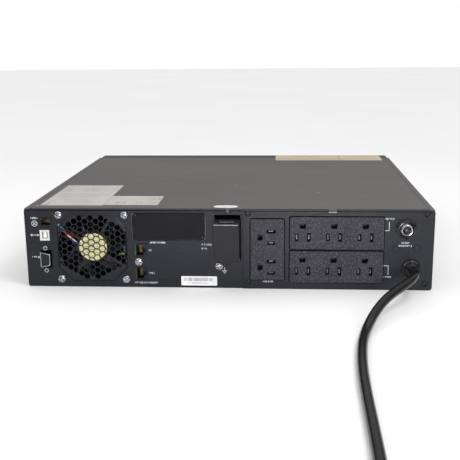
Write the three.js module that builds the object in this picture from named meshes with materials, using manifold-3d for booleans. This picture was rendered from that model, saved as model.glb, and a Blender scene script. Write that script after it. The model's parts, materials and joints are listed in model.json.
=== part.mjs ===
// A two-rack-unit line-interactive UPS with a rear fan, eight outlets, a slide-out battery tray
// and an attached mains cord. Millimetres, +Z up. +X is to the right when looking at the rear
// panel, which faces -Y; the front bezel faces +Y. The origin is under the middle of the unit.
import * as THREE from "three";
import { mergeVertices } from "three/addons/utils/BufferGeometryUtils.js";
import Module from "manifold-3d";

const wasm = await Module();
wasm.setup();

// ---------------------------------------------------------------- driving dimensions
const width = 438; // over the side walls
const height = 87; // just under two rack units
const depth = 400; // rear panel face to bezel face
const sheet = 1.2; // steel sheet
const gap = 0.3; // between pieces that touch
const slideGap = 0.8; // beside pieces that slide
const cornerRadius = 3;
const coverReach = 21; // how far the battery-connector cover stands out of the rear panel
const buttonProud = 1.2; // how far the front buttons stand out of the bezel
const rimWidth = 5.5; // flanges of the base and the rear panel round the top cover
const bezelDepth = 28;
const bezelWall = 2.6;

const fanSize = 80;
const fanDepth = 25;
const fanHoleInset = 4.25; // its screws from its sides
const fanWall = 1.8; // its thinnest wall, at the middle of a side
const fanHub = 17.5; // hub radius
const bladeCount = 7;
const grilleInset = 1.5; // the grille's flat sides inside the fan's sides
const grilleCorner = 5; // how much further from the axis its cut corners are
const grilleRise = 2.6;
const hexFlats = 5.9;
const hexWeb = 0.9;
const grilleShift = [-0.9, -1.2]; // the hole pattern's middle from the fan's axis: x, z

const screwShank = 1.5; // radius
const slotPitch = 12.7; // mains outlet: between the two blades
const earthDrop = 11.9; // from the blades' line to the earth pin
const outletPitch = 33;
const outletPocket = 14;
const cordDiameter = 9.2;
const coilRadius = 55; // middle of the coil's turns
const batterySize = new THREE.Vector3(94, 151, 65);

// ---------------------------------------------------------------- places on the rear panel: x, z
const fanPlace = [-145.5, 44.7];
const remotePlace = [-195.9, 72.8];
const usbPlace = [-197.6, 57.8];
const serialPlace = [-197.2, 31.3];
const serialPitch = 25;
const surgePlaces = { surge_jack_in: [-93, 42], surge_jack_out: [-93, 16] };
const portScrewPlace = [-95.5, 28.7];
const accessoryBox = { x: [-102, -22.4], z: [52.6, 83.3] };
const accessoryInset = 3.4; // its screws from its edges
const connectorBox = { x: [-12.7, 15.6], z: [30, 81.2] };
const groundScrewPlace = [-8, 24.6];
const receptacleLeft = 17.8; // left edge of the receptacle panel
const receptacleInset = [5.4, 3.8]; // its screws from its edges
const breakerPlace = [189.3, 67.4];
const glandPlace = [196, 24.7];
const outletBlocks = {
  outlet_block_1: { centre: [117.1, 62.4], size: [99, 35], turn: 0, count: 3, shift: -2.8, drop: 4.6 },
  outlet_block_2: { centre: [117.1, 25.2], size: [99, 35], turn: 0, count: 3, shift: -2.8, drop: 4.6 },
  outlet_block_3: { centre: [43.8, 44], size: [67, 36], turn: 1, count: 2, shift: -3, drop: 4.2 },
};

// ---------------------------------------------------------------- what follows from them
const rearFace = coverReach - (depth + coverReach + buttonProud) / 2; // y of the receptacle panel's face
const frontFace = rearFace + depth;
const panelFront = sheet + gap; // rear panel's face, behind the receptacle panel
const panelBack = panelFront + sheet;
const caseStart = rearFace + panelBack + gap;
const caseEnd = frontFace - bezelDepth - gap;
const hexPitch = hexFlats + hexWeb;
const fanHolePitch = fanSize - 2 * fanHoleInset;
const fanBore = fanSize - 2 * fanWall;
const grilleReach = fanSize / 2 - grilleInset;
const grilleCornerReach = grilleReach + grilleCorner;
const cordRadius = cordDiameter / 2;
const trayX = [7.5, width / 2 - sheet - 4.5];
const traySill = 2.4; // the bezel's edge under the drawer
const trayFloor = traySill + slideGap;
const trayEnd = frontFace - bezelDepth - 1;
const trayStart = trayEnd - 2 * batterySize.y - 6;
const dividerX = 3.5;

// ---------------------------------------------------------------- materials
const finish = (color, roughness, metalness = 0) =>
  new THREE.MeshStandardMaterial({ color, roughness, metalness });
const blackPaint = finish(0x2a2b2f, 0.6, 0.2);
const greyPaint = finish(0x5c5a58, 0.65, 0.2);
const blackPlastic = finish(0x232226, 0.7);
const glossBlack = finish(0x0b0b0c, 0.25);
const chrome = finish(0xd8d8da, 0.2, 1);
const zinc = finish(0xa9abae, 0.4, 1);
const boardGreen = finish(0x1f5a34, 0.5);
const batteryGrey = finish(0x3b3d41, 0.6);
const amberTape = finish(0xc9a227, 0.6);

// ---------------------------------------------------------------- solids
// A closed geometry as a solid, with equal vertices merged and empty triangles dropped.
function solid(geometry) {
  const bare = geometry.index ? geometry.toNonIndexed() : geometry.clone();
  bare.deleteAttribute("normal");
  bare.deleteAttribute("uv");
  const merged = mergeVertices(bare, 1e-4);
  const kept = [];
  const index = merged.index.array;
  for (let i = 0; i < index.length; i += 3) {
    const [a, b, c] = index.slice(i, i + 3);
    if (a !== b && b !== c && a !== c) kept.push(a, b, c);
  }
  const vertProperties = new Float32Array(merged.attributes.position.array);
  const triVerts = new Uint32Array(kept);
  return new wasm.Manifold(new wasm.Mesh({ numProp: 3, vertProperties, triVerts }));
}

const grow = (range, by) => [range[0] - by, range[1] + by];
const join = (...solids) => solids.reduce((a, b) => a.add(b));
const cut = (first, ...solids) => solids.reduce((a, b) => a.subtract(b), first);

function box(x, y, z) {
  const size = [x, y, z].map(([low, high]) => high - low);
  const centre = [x, y, z].map(([low, high]) => (low + high) / 2);
  return solid(new THREE.BoxGeometry(...size).translate(...centre));
}

// An outline in the x-z plane, drawn out along y.
function alongY(shape, [start, end], curveSegments = 4) {
  const options = { depth: end - start, bevelEnabled: false, curveSegments };
  return solid(new THREE.ExtrudeGeometry(shape, options).rotateX(Math.PI / 2).translate(0, end, 0));
}

// An outline in the y-z plane, drawn out along x.
function alongX(shape, [start, end], curveSegments = 4) {
  const options = { depth: end - start, bevelEnabled: false, curveSegments };
  const basis = new THREE.Matrix4().makeBasis(
    new THREE.Vector3(0, 1, 0),
    new THREE.Vector3(0, 0, 1),
    new THREE.Vector3(1, 0, 0),
  );
  return solid(new THREE.ExtrudeGeometry(shape, options).applyMatrix4(basis).translate(start, 0, 0));
}

// An outline in the x-y plane, drawn up along z.
function alongZ(shape, [start, end], curveSegments = 4) {
  const options = { depth: end - start, bevelEnabled: false, curveSegments };
  return solid(new THREE.ExtrudeGeometry(shape, options).translate(0, 0, start));
}

const polygon = (points) => new THREE.Shape(points.map(([a, b]) => new THREE.Vector2(a, b)));

function roundedBox([left, right], [low, high], radius) {
  const shape = new THREE.Shape();
  shape.moveTo(left + radius, low);
  shape.lineTo(right - radius, low);
  shape.absarc(right - radius, low + radius, radius, -Math.PI / 2, 0);
  shape.lineTo(right, high - radius);
  shape.absarc(right - radius, high - radius, radius, 0, Math.PI / 2);
  shape.lineTo(left + radius, high);
  shape.absarc(left + radius, high - radius, radius, Math.PI / 2, Math.PI);
  shape.lineTo(left, low + radius);
  shape.absarc(left + radius, low + radius, radius, Math.PI, 1.5 * Math.PI);
  return shape;
}

function regular(sides, radius, [x, y] = [0, 0], turn = 0) {
  const angle = (i) => turn + (2 * Math.PI * i) / sides;
  const corner = (_, i) => [x + radius * Math.cos(angle(i)), y + radius * Math.sin(angle(i))];
  return polygon(Array.from({ length: sides }, corner));
}

// A turned piece about the y axis from [radius, y] points; the profile closes on the axis or itself.
function turned(profile, segments = 16) {
  const points = profile.map(([radius, y]) => new THREE.Vector2(radius, y));
  if (THREE.ShapeUtils.area(points) < 0) points.reverse();
  const closed = points[0].x > 0 ? [...points, points[0].clone()] : points;
  return solid(new THREE.LatheGeometry(closed, segments));
}

const rod = (radius, start, end) => [[0, start], [radius, start], [radius, end], [0, end]];

// A solid between two outlines with the same number of corners; the near one has the lower y.
function tapered(nearPoints, nearY, farPoints, farY) {
  const count = nearPoints.length;
  const place = (points, y) => points.flatMap(([x, z]) => [x, y, z]);
  const position = [...place(nearPoints, nearY), ...place(farPoints, farY)];
  const index = [];
  for (let i = 0; i < count; i += 1) {
    const next = (i + 1) % count;
    index.push(i, count + i, next, next, count + i, count + next);
  }
  for (let i = 1; i < count - 1; i += 1) {
    index.push(0, i, i + 1);
    index.push(count, count + i + 1, count + i);
  }
  const geometry = new THREE.BufferGeometry();
  geometry.setAttribute("position", new THREE.Float32BufferAttribute(position, 3));
  geometry.setIndex(index);
  return solid(geometry);
}

const unit = new THREE.Group();
const rear = new THREE.Group(); // y = 0 is the receptacle panel's face, +y goes inwards
rear.position.y = rearFace;
unit.add(rear);

function add(name, shape, material, place = [0, 0, 0], parent = rear) {
  const { vertProperties, triVerts } = shape.getMesh();
  const geometry = new THREE.BufferGeometry();
  geometry.setAttribute("position", new THREE.BufferAttribute(vertProperties, 3));
  geometry.setIndex(new THREE.BufferAttribute(triVerts, 1));
  geometry.computeVertexNormals();
  const mesh = new THREE.Mesh(geometry, material);
  mesh.name = name;
  mesh.position.set(...place);
  parent.add(mesh);
  return mesh;
}

// ---------------------------------------------------------------- fasteners
const headHeight = 2.4;

// A pan-head screw whose head rests on y = 0, with its shank towards +y.
function panScrew(headRadius, shankRadius, length) {
  const dome = [
    [headRadius, -gap],
    [headRadius, -headHeight * 0.45],
    [headRadius * 0.72, -headHeight * 0.85],
    [0, -headHeight],
  ];
  return turned([[0, length], [shankRadius, length], [shankRadius, -gap], ...dome], 12);
}

const hole = (radius, [x, z], range) => alongY(regular(10, radius, [x, z]), range);
const fanScrews = [-1, 1].flatMap((a) => [-1, 1].map((b) => [a, b])).map(([a, b]) => [
  fanPlace[0] + (a * fanHolePitch) / 2,
  fanPlace[1] + (b * fanHolePitch) / 2,
]);
const receptacleScrews = [receptacleLeft + receptacleInset[0], width / 2 - 2.1 * receptacleInset[1]]
  .flatMap((x) => [receptacleInset[1] + 3, height - receptacleInset[1]].map((z) => [x, z]));
const accessoryScrews = [
  [accessoryBox.x[0] + accessoryInset, accessoryBox.z[1] - accessoryInset],
  [accessoryBox.x[1] - accessoryInset, accessoryBox.z[0] + accessoryInset],
];
const serialScrews = [-1, 1].map((side) => [serialPlace[0], serialPlace[1] + (side * serialPitch) / 2]);

// ---------------------------------------------------------------- rear panel and its fan grille
function octagon(reach, cornerReach) {
  const half = cornerReach * Math.SQRT2 - reach;
  const flats = [[reach, -half], [reach, half], [half, reach], [-half, reach]];
  return [...flats, ...flats.map(([x, z]) => [-x, -z])].map(([x, z]) => [x + fanPlace[0], z + fanPlace[1]]);
}

function grilleHoles(range) {
  const columnPitch = (hexPitch * Math.sqrt(3)) / 2;
  const radius = hexFlats / Math.sqrt(3);
  const reach = grilleReach - hexFlats / 2;
  const holes = [];
  for (let column = -6; column <= 6; column += 1) {
    for (let row = -6; row <= 6; row += 1) {
      const x = column * columnPitch + grilleShift[0];
      const z = (row + (column % 2 ? 0.5 : 0)) * hexPitch + grilleShift[1];
      const flat = Math.abs(x) < reach + hexWeb && Math.abs(z) < reach - 2 * hexWeb;
      const corner = Math.abs(z) + Math.abs(x) / Math.sqrt(3) < grilleCornerReach - 2 * hexFlats / 3 + hexWeb;
      if (flat && corner) holes.push(alongY(regular(6, radius, [x + fanPlace[0], z + fanPlace[1]]), range));
    }
  }
  const field = octagon(grilleReach - 0.6, grilleCornerReach - 0.6).map((spot) => new THREE.Vector2(...spot));
  return join(...holes).intersect(alongY(new THREE.Shape(field), range));
}

function rearPanel() {
  const outline = roundedBox([-width / 2, width / 2], [0, height], cornerRadius);
  const plate = alongY(outline, [panelFront, panelBack]);
  const rimX = [-width / 2 + rimWidth + 3, width / 2 - rimWidth - 3];
  const rim = box(rimX, [panelBack - gap, panelFront + rimWidth], [height - sheet, height]);
  const slope = grilleRise;
  const outer = octagon(grilleReach, grilleCornerReach);
  const innerCut = octagon(grilleReach - sheet, grilleCornerReach - sheet);
  const raised = octagon(grilleReach - slope, grilleCornerReach - slope);
  const raisedCut = octagon(grilleReach - slope - sheet, grilleCornerReach - slope - sheet);
  const crown = tapered(raised, panelFront - grilleRise, outer, panelFront + gap);
  const hollow = tapered(raisedCut, panelBack - grilleRise, innerCut, panelBack + gap);
  const openings = [
    ...fanScrews.map((place) => hole(screwShank + gap, place, [0, 9])),
    ...serialScrews.map((place) => hole(screwShank + gap, place, [0, 9])),
    hole(screwShank + gap, portScrewPlace, [0, 9]),
    hole(screwShank + gap, groundScrewPlace, [0, 9]),
    ...receptacleScrews.map((place) => hole(screwShank + gap, place, [0, 9])),
    alongY(roundedBox(accessoryBox.x, accessoryBox.z, 4), [0, 9]),
    portOpening(remotePlace, remoteSize),
    portOpening(usbPlace, usbSize),
    portOpening(serialPlace, serialSize),
    ...Object.values(surgePlaces).map((place) => portOpening(place, surgeSize)),
    box(connectorBox.x, [0, 9], connectorBox.z),
    box([receptacleLeft + 9, breakerPlace[0] + 17], [0, 9], [9.8, height - 8]),
    ...coverTabs.map(([x, half]) => box([x - half, x + half], [0, 9], [height - 2 * sheet, height + 1])),
  ];
  const pan = cut(join(plate, rim, crown), hollow, ...openings);
  return cut(pan, grilleHoles([-9, 9]));
}

const coverTabs = [[1.6, 2.4], [112.6, 5]]; // x and half width of the top cover's rear tabs
const remoteSize = [13.2, 9.4];
const usbSize = [10.6, 11.8];
const serialSize = [11.4, 18.8];
const surgeSize = [10.8, 13.8];
const portOpening = ([x, z], [wide, high]) =>
  box([x - wide / 2 - gap, x + wide / 2 + gap], [0, 9], [z - high / 2 - gap, z + high / 2 + gap]);

add("rear_panel", rearPanel(), blackPaint);

function receptaclePanel() {
  const outline = new THREE.Shape();
  const right = width / 2;
  outline.moveTo(receptacleLeft, 0);
  outline.lineTo(right - cornerRadius, 0);
  outline.absarc(right - cornerRadius, cornerRadius, cornerRadius, -Math.PI / 2, 0);
  outline.absarc(right - cornerRadius, height - cornerRadius, cornerRadius, 0, Math.PI / 2);
  outline.lineTo(receptacleLeft, height);
  const openings = Object.values(outletBlocks).map((block) => {
    const [x, z] = blockHalf(block, -blockLip);
    const [cx, cz] = block.centre;
    return box([cx - x, cx + x], [-1, 9], [cz - z, cz + z]);
  });
  const holes = receptacleScrews.map((place) => hole(screwShank + gap, place, [-1, 9]));
  const notches = coverTabs
    .filter(([x]) => x > receptacleLeft)
    .map(([x, half]) => box([x - half, x + half], [-1, 9], [height - 2 * sheet, height + 1]));
  return cut(
    alongY(outline, [0, sheet]),
    ...openings,
    ...holes,
    ...notches,
    alongY(regular(16, bushingRadius + gap, breakerPlace), [-1, 9]),
    alongY(regular(16, glandNeck + gap, glandPlace), [-1, 9]),
  );
}

// ---------------------------------------------------------------- mains outlets
const blockLip = 2; // how far a block's flange covers the panel round its opening
const blockFlange = 1.6;
const blockDepth = 24;
const blockHalf = ({ size, turn }, grow = 0) => {
  const half = size.map((side) => side / 2 + grow);
  return turn ? half.reverse() : half;
};

// The earth hole: round towards the blades and flat on its far side, centred on [x, z].
function earthHole([x, z]) {
  const half = 3.3;
  const shape = new THREE.Shape();
  shape.moveTo(x + half, z + 2.6);
  shape.lineTo(x - half, z + 2.6);
  shape.absarc(x, z, half, Math.PI, 2 * Math.PI);
  return alongY(shape, [-9, outletPocket], 5);
}

function outletBlock(block) {
  const [x, z] = block.size.map((side) => side / 2);
  const flange = alongY(roundedBox([-x, x], [-z, z], 1.5), [-blockFlange, -gap], 2);
  const inner = blockLip + gap;
  const body = box([inner - x, x - inner], [-blockFlange / 2, blockDepth], [inner - z, z - inner]);
  const slotZ = -block.drop;
  const pockets = Array.from({ length: block.count }, (_, i) => {
    const at = block.shift + (i - (block.count - 1) / 2) * outletPitch;
    const slot = (side, high) => {
      const centre = at + (side * slotPitch) / 2;
      return box([centre - 1.8, centre + 1.8], [-9, outletPocket], [slotZ - high / 2, slotZ + high / 2]);
    };
    return [slot(-1, 7.8), slot(1, 9.4), earthHole([at, slotZ + earthDrop])];
  });
  return cut(join(flange, body), ...pockets.flat());
}

for (const [name, block] of Object.entries(outletBlocks)) {
  const mesh = add(name, outletBlock(block), blackPlastic, [block.centre[0], 0, block.centre[1]]);
  mesh.rotation.y = -block.turn * (Math.PI / 2);
}

// ---------------------------------------------------------------- breaker
const bushingRadius = 6.3;
const bushingReach = 8.5;
const buttonRadius = 3.5;

const breakerBody = cut(
  join(
    turned(rod(bushingRadius, -bushingReach, 4), 20),
    box([-8, 8], [sheet + gap, 34], [-11, 11]),
  ),
  turned(rod(buttonRadius + gap, -bushingReach - 1, 10), 20),
);
add("breaker_body", breakerBody, chrome, [breakerPlace[0], 0, breakerPlace[1]]);

const nutBore = bushingRadius + gap;
const nut = turned([[nutBore, -gap], [11, -gap], [11, -4], [9.8, -5.2], [nutBore, -5.2]], 20);
add("breaker_nut", nut, glossBlack, [breakerPlace[0], 0, breakerPlace[1]]);

const buttonTip = [[buttonRadius, -8.9], [buttonRadius - 0.8, -9.7], [0, -9.9]];
const button = turned([[0, 8], [buttonRadius, 8], ...buttonTip], 16);
add("breaker_button", button, glossBlack, [breakerPlace[0], 0, breakerPlace[1]]);

// ---------------------------------------------------------------- cord gland
const glandNeck = cordRadius + 3.2;
const glandFlange = cordRadius + 5.3;
const glandReach = 12;
const glandTail = 12;

const gland = turned([
  [0, glandTail],
  [glandFlange - 1.3, glandTail],
  [glandFlange - 0.7, sheet + gap],
  [glandNeck, sheet + gap],
  [glandNeck, -gap],
  [glandFlange, -gap],
  [glandFlange - 0.4, -2.4],
  [cordRadius + 2, -7.5],
  [cordRadius + 0.9, -glandReach],
  [0, -glandReach],
], 20);
add("cord_gland", gland, glossBlack, [glandPlace[0], 0, glandPlace[1]]);
add("receptacle_panel", receptaclePanel(), blackPaint);

// ---------------------------------------------------------------- screws
const screwSets = {
  fan_screw: { places: fanScrews, head: 4.1, material: chrome, y: panelFront, length: 8 },
  receptacle_screw: { places: receptacleScrews, head: 3.1, material: glossBlack, y: 0, length: 6 },
  accessory_screw: {
    places: accessoryScrews,
    head: 2.7,
    material: glossBlack,
    y: panelFront + 0.8,
    length: 6,
  },
  serial_screw: { places: serialScrews, head: 2.8, material: chrome, y: panelFront, length: 5 },
};
for (const [set, { places, head, material, y, length }] of Object.entries(screwSets)) {
  const screw = panScrew(head, screwShank, length);
  places.forEach(([x, z], i) => add(`${set}_${i + 1}`, screw, material, [x, y, z]));
}
const loneScrews = { port_screw: portScrewPlace, ground_screw: groundScrewPlace };
for (const [name, [x, z]] of Object.entries(loneScrews)) {
  add(name, panScrew(4.4, screwShank, 7), chrome, [x, panelFront, z]);
}

// ---------------------------------------------------------------- accessory slot
const accessoryFace = panelFront + 0.8;
const accessoryHoles = (range) => accessoryScrews.map((place) => hole(screwShank + gap, place, range));
const accessoryCover = alongY(
  roundedBox(grow(accessoryBox.x, -0.4), grow(accessoryBox.z, -0.4), 3.8),
  [accessoryFace, accessoryFace + sheet],
);
add("accessory_cover", cut(accessoryCover, ...accessoryHoles([0, 9])), blackPaint);

// The open card cage behind the cover; its front rim backs the cover and the panel.
const cageFront = accessoryFace + sheet + gap;
const cageX = [accessoryBox.x[0] - 3, accessoryBox.x[1] + 3];
const cageZ = [accessoryBox.z[0] - 3, height - sheet - gap];
const cage = cut(
  box(cageX, [cageFront, 75], cageZ),
  box(grow(cageX, -sheet), [cageFront + sheet, 90], grow(cageZ, -sheet)),
  box(grow(accessoryBox.x, -8), [0, 9], grow(accessoryBox.z, -8)),
  ...accessoryHoles([0, 9]),
);
add("accessory_cage", cage, zinc);

// ---------------------------------------------------------------- data ports
// A socket body that fills its opening, with a hollow of its own.
function socket([wide, high], reach, hollows, proud = 0.4) {
  const front = panelFront - proud;
  return cut(box([-wide / 2, wide / 2], [front, reach], [-high / 2, high / 2]), ...hollows);
}
const hollow = (wide, high, deep, x = 0, z = 0) =>
  box([x - wide / 2, x + wide / 2], [-9, deep], [z - high / 2, z + high / 2]);

add("remote_port", socket(remoteSize, 17, [hollow(9.8, 5.8, 13, 0, -0.6), hollow(4.6, 3, 13, 0, 2.6)]),
  blackPlastic, [remotePlace[0], 0, remotePlace[1]]);
const usbShell = socket(usbSize, 17, [hollow(8.2, 9, 12)]);
const usbTongue = box([-1.6, 1.6], [panelFront + 1.6, 13], [-2.9, 2.9]);
add("usb_port", join(usbShell, usbTongue), zinc, [usbPlace[0], 0, usbPlace[1]]);
const surgeJack = socket(surgeSize, 19, [hollow(7.4, 11.8, 15, -0.8), hollow(3.2, 4.6, 15, 3.2)]);
for (const [name, [x, z]] of Object.entries(surgePlaces)) add(name, surgeJack, blackPlastic, [x, 0, z]);

// A D-shaped outline, wider on the left, standing on its short side.
const dShape = (grow) => {
  const [wide, high] = serialSize.map((side) => side / 2 + grow);
  const upper = [[-wide, high - 0.5], [wide - 1, high - 2.4], [wide, high - 3.4]];
  const lower = upper.map(([x, z]) => [x, -z]).reverse();
  return polygon([...upper, ...lower].reverse());
};
const shell = cut(alongY(dShape(-0.4), [panelFront - 5, 12]), alongY(dShape(-1.2), [panelFront - 6, 9]));
add("serial_shell", shell, chrome, [serialPlace[0], 0, serialPlace[1]]);
const serialPinPitch = 2.76;
const pinHole = (x, z) => alongY(regular(6, 0.65, [x, z]), [-9, 6]);
const pinHoles = [[-1.4, 5], [1.4, 4]].flatMap(([x, count]) =>
  Array.from({ length: count }, (_, i) => pinHole(x, (i - (count - 1) / 2) * serialPinPitch)));
const insert = cut(alongY(dShape(-1.2 - gap), [panelFront - 4.2, 9 - gap]), ...pinHoles);
add("serial_insert", insert, blackPlastic, [serialPlace[0], 0, serialPlace[1]]);

// ---------------------------------------------------------------- battery connector
const housingWall = 1.6;
const housingDepth = 34;
const hingePin = { y: -2.2, z: connectorBox.z[0] + 2.9, radius: 1.2 };
const coverX = [connectorBox.x[0] + 2 * gap, connectorBox.x[1] - 1.2];
const connectorCentre = (connectorBox.x[0] + connectorBox.x[1]) / 2;

function batteryConnector() {
  const outside = housingWall - gap;
  const housing = cut(
    box(grow(connectorBox.x, outside), [panelBack + gap, housingDepth], grow(connectorBox.z, outside)),
    box(grow(connectorBox.x, -gap), [0, housingDepth - housingWall], grow(connectorBox.z, -gap)),
  );
  const block = box([connectorCentre - 11, connectorCentre + 11], [15, housingDepth - 1], [38, 74]);
  const poles = [46.5, 65.5].map((z) =>
    box([connectorCentre - 5, connectorCentre + 5], [0, 27], [z - 6.5, z + 6.5]));
  return cut(join(housing, block), ...poles);
}
add("battery_connector", batteryConnector(), blackPlastic);

function connectorCover() {
  const top = 75.6;
  const { y, z, radius } = hingePin;
  const barrel = radius + 1.1;
  const lip = [[-coverReach, top - 1], [-coverReach + 1, top]];
  const outline = polygon([[y - barrel, z], ...lip, [6, top + 0.6], [6, z + 6], [y, z]]);
  const inside = polygon([[y - barrel + 2.4, z + 5], [-coverReach + 3, top - 2.4], [9, top - 2], [9, z + 5]]);
  const wedge = cut(
    alongX(outline, coverX),
    alongX(inside, [coverX[0] + 1.8, coverX[1] - 1.8]),
    box([coverX[0] + 4, coverX[1] - 6], [-coverReach + 6.5, -2], [top - 9, top + 3]),
  );
  const round = alongX(regular(12, barrel, [y, z]), coverX);
  return cut(join(wedge, round), alongX(regular(12, radius + gap, [y, z]), [coverX[0] - 1, coverX[1] + 1]));
}
add("connector_cover", connectorCover(), blackPlastic);
const pinOutline = regular(10, hingePin.radius, [hingePin.y, hingePin.z]);
const pin = alongX(pinOutline, grow(coverX, 0.2));
add("cover_hinge_pin", pin, zinc);

// ---------------------------------------------------------------- fan
function fanFrame() {
  const half = fanSize / 2;
  const ring = cut(
    alongY(roundedBox([-half, half], [-half, half], 3), [0, fanDepth], 2),
    alongY(regular(32, fanBore / 2), [-1, fanDepth + 1]),
  );
  const strut = (turn) => {
    const reach = fanBore / 2 + 1;
    const arm = polygon([[fanHub - 4, -1.7], [reach, -1.7], [reach, 1.7], [fanHub - 4, 1.7]]);
    const shape = polygon(arm.getPoints().slice(0, 4).map(({ x, y }) => [
      x * Math.cos(turn) - y * Math.sin(turn),
      x * Math.sin(turn) + y * Math.cos(turn),
    ]));
    return alongY(shape, [0.4, 3.4]);
  };
  const struts = [0.25, 0.75, 1.25, 1.75].map((turns) => strut(turns * Math.PI + 0.22));
  const seat = alongY(regular(20, fanHub - 1), [0.4, 4]);
  const bearing = alongY(regular(10, 3), [3.9, 20]);
  const holes = [-1, 1].flatMap((a) => [-1, 1].map((b) =>
    hole(screwShank + gap, [(a * fanHolePitch) / 2, (b * fanHolePitch) / 2], [-1, fanDepth + 1])));
  return cut(join(ring, ...struts, seat, bearing), ...holes);
}

function fanRotor() {
  const hubEnd = [[fanHub, 21.4], [fanHub - 1.6, 23], [0, 23], [0, 20.6], [3.4, 20.6]];
  const hub = turned([[3.4, 4.8], [fanHub, 4.8], ...hubEnd], 20);
  const tip = fanBore / 2 - 1;
  const root = fanHub - 2;
  const blade = new THREE.BoxGeometry(tip - root, 1.4, 19, 4, 1, 1).translate((tip + root) / 2, 0, 0);
  const position = blade.attributes.position;
  for (let i = 0; i < position.count; i += 1) {
    const x = position.getX(i);
    const lean = 0.95 - 0.3 * ((x - fanHub) / (tip - fanHub));
    const y = position.getY(i) * Math.cos(lean) - position.getZ(i) * Math.sin(lean);
    const z = position.getY(i) * Math.sin(lean) + position.getZ(i) * Math.cos(lean);
    const sweep = 0.35 * ((x - fanHub) / (tip - fanHub));
    const [c, d] = [Math.cos(sweep), Math.sin(sweep)];
    position.setXYZ(i, x * c - y * d, x * d + y * c, z);
  }
  const blades = Array.from({ length: bladeCount }, (_, i) => solid(
    blade.clone().rotateZ((2 * Math.PI * i) / bladeCount).rotateX(Math.PI / 2).translate(0, 13.6, 0)));
  const sweptTube = cut(
    turned([[0, 5], [tip, 5], [tip, 22.4], [0, 22.4]], 32),
    turned([[0, 4], [fanHub - 0.8, 4], [fanHub - 0.8, 24], [0, 24]], 20),
  );
  return join(hub, join(...blades).intersect(sweptTube));
}

const fanStart = panelBack + gap;
add("fan_frame", fanFrame(), blackPlastic, [fanPlace[0], fanStart, fanPlace[1]]);
add("fan_rotor", fanRotor(), blackPlastic, [fanPlace[0], fanStart, fanPlace[1]]);

// ---------------------------------------------------------------- case: base, cover, divider
function chassisBase() {
  const [w, h, t] = [width / 2, height, sheet];
  const section = polygon([[-w, 0], [w, 0], [w, h], [w - rimWidth, h], [w - rimWidth, h - t], [w - t, h - t],
    [w - t, t], [t - w, t], [t - w, h - t], [rimWidth - w, h - t], [rimWidth - w, h], [-w, h]]);
  const earHoles = [-1, 1].flatMap((side) => [18, 43].flatMap((inset) => [20, 67].map((z) =>
    alongX(regular(8, 2.4, [caseEnd - inset, z]), side < 0 ? [-w - 1, 3 - w] : [w - 3, w + 1]))));
  const vents = Array.from({ length: 9 }, (_, i) =>
    box([-w - 1, 3 - w], [caseEnd - 92 - 8 * i, caseEnd - 88.5 - 8 * i], [26, 62]));
  return cut(alongY(section, [caseStart, caseEnd]), ...earHoles, ...vents);
}
add("chassis_base", chassisBase(), greyPaint, [0, 0, 0], unit);

function topCover() {
  const x = width / 2 - rimWidth - gap;
  const start = rearFace + panelFront + rimWidth + gap;
  const plate = box([-x, x], [start, caseEnd], [height - sheet, height]);
  const hems = [-1, 1].map((side) => {
    const edge = side * (x - 0.4);
    return box([Math.min(edge, edge - side * sheet), Math.max(edge, edge - side * sheet)],
      [start + 4, caseEnd - 4], [height - 9, height - sheet / 2]);
  });
  const tabY = [rearFace + panelFront, start + 1];
  const tabZ = [height - sheet - 0.6, height - 0.7];
  const tabs = coverTabs.map(([at, half]) => box([at - half + gap, at + half - gap], tabY, tabZ));
  return join(plate, ...hems, ...tabs);
}
add("top_cover", topCover(), greyPaint, [0, 0, 0], unit);

const dividerStart = rearFace + 66;
const divider = join(
  box([dividerX, dividerX + sheet], [dividerStart, caseEnd - gap], [sheet + gap, height - 9.5]),
  box([dividerX - 12, dividerX + sheet], [dividerStart, caseEnd - gap], [sheet + gap, 2 * sheet + gap]),
);
add("bay_divider", divider, zinc, [0, 0, 0], unit);

// ---------------------------------------------------------------- front bezel
const trayOpening = { x: [trayX[0] - 2.5, width / 2 - 4], z: [traySill, height - 5] };
const windowBox = { x: [-142, -74], z: [40, 66] };
const powerPlace = [-42, 53];
const testPlace = [-174, 53];
const powerRadius = 8;
const testRadius = 5.5;

function frontBezel() {
  const back = frontFace - bezelDepth;
  const outline = (inset) =>
    roundedBox([inset - width / 2, width / 2 - inset], [inset, height - inset], cornerRadius + 1);
  const shellBody = join(
    alongY(outline(0), [back, frontFace - 3]),
    alongY(outline(1.6), [frontFace - 3.5, frontFace]),
  );
  const hollowX = [bezelWall - width / 2, trayOpening.x[0] - bezelWall];
  const vents = Array.from({ length: 14 }, (_, i) => {
    const x = -205 + 14 * i;
    return box([x, x + 9], [frontFace - 9, frontFace + 1], [10, 14.5]);
  });
  return cut(
    shellBody,
    box(hollowX, [back - 1, frontFace - bezelWall], [bezelWall, height - bezelWall]),
    box(trayOpening.x, [back - 1, frontFace + 1], trayOpening.z),
    box(windowBox.x, [frontFace - 9, frontFace + 1], windowBox.z),
    alongY(regular(20, powerRadius + gap, powerPlace), [frontFace - 9, frontFace + 1]),
    alongY(regular(16, testRadius + gap, testPlace), [frontFace - 9, frontFace + 1]),
    ...vents,
  );
}
add("front_bezel", frontBezel(), blackPlastic, [0, 0, 0], unit);

const windowY = [frontFace - bezelWall, frontFace - 0.6];
const displayWindow = box(grow(windowBox.x, -gap), windowY, grow(windowBox.z, -gap));
add("display_window", displayWindow, glossBlack, [0, 0, 0], unit);
const displayBoard = join(
  box(grow(windowBox.x, 22), [frontFace - 14, frontFace - 12], grow(windowBox.z, 10)),
  box(grow(windowBox.x, -1.5), [frontFace - 13, frontFace - bezelWall - gap], grow(windowBox.z, -1.5)),
);
add("display_board", displayBoard, boardGreen, [0, 0, 0], unit);

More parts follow.
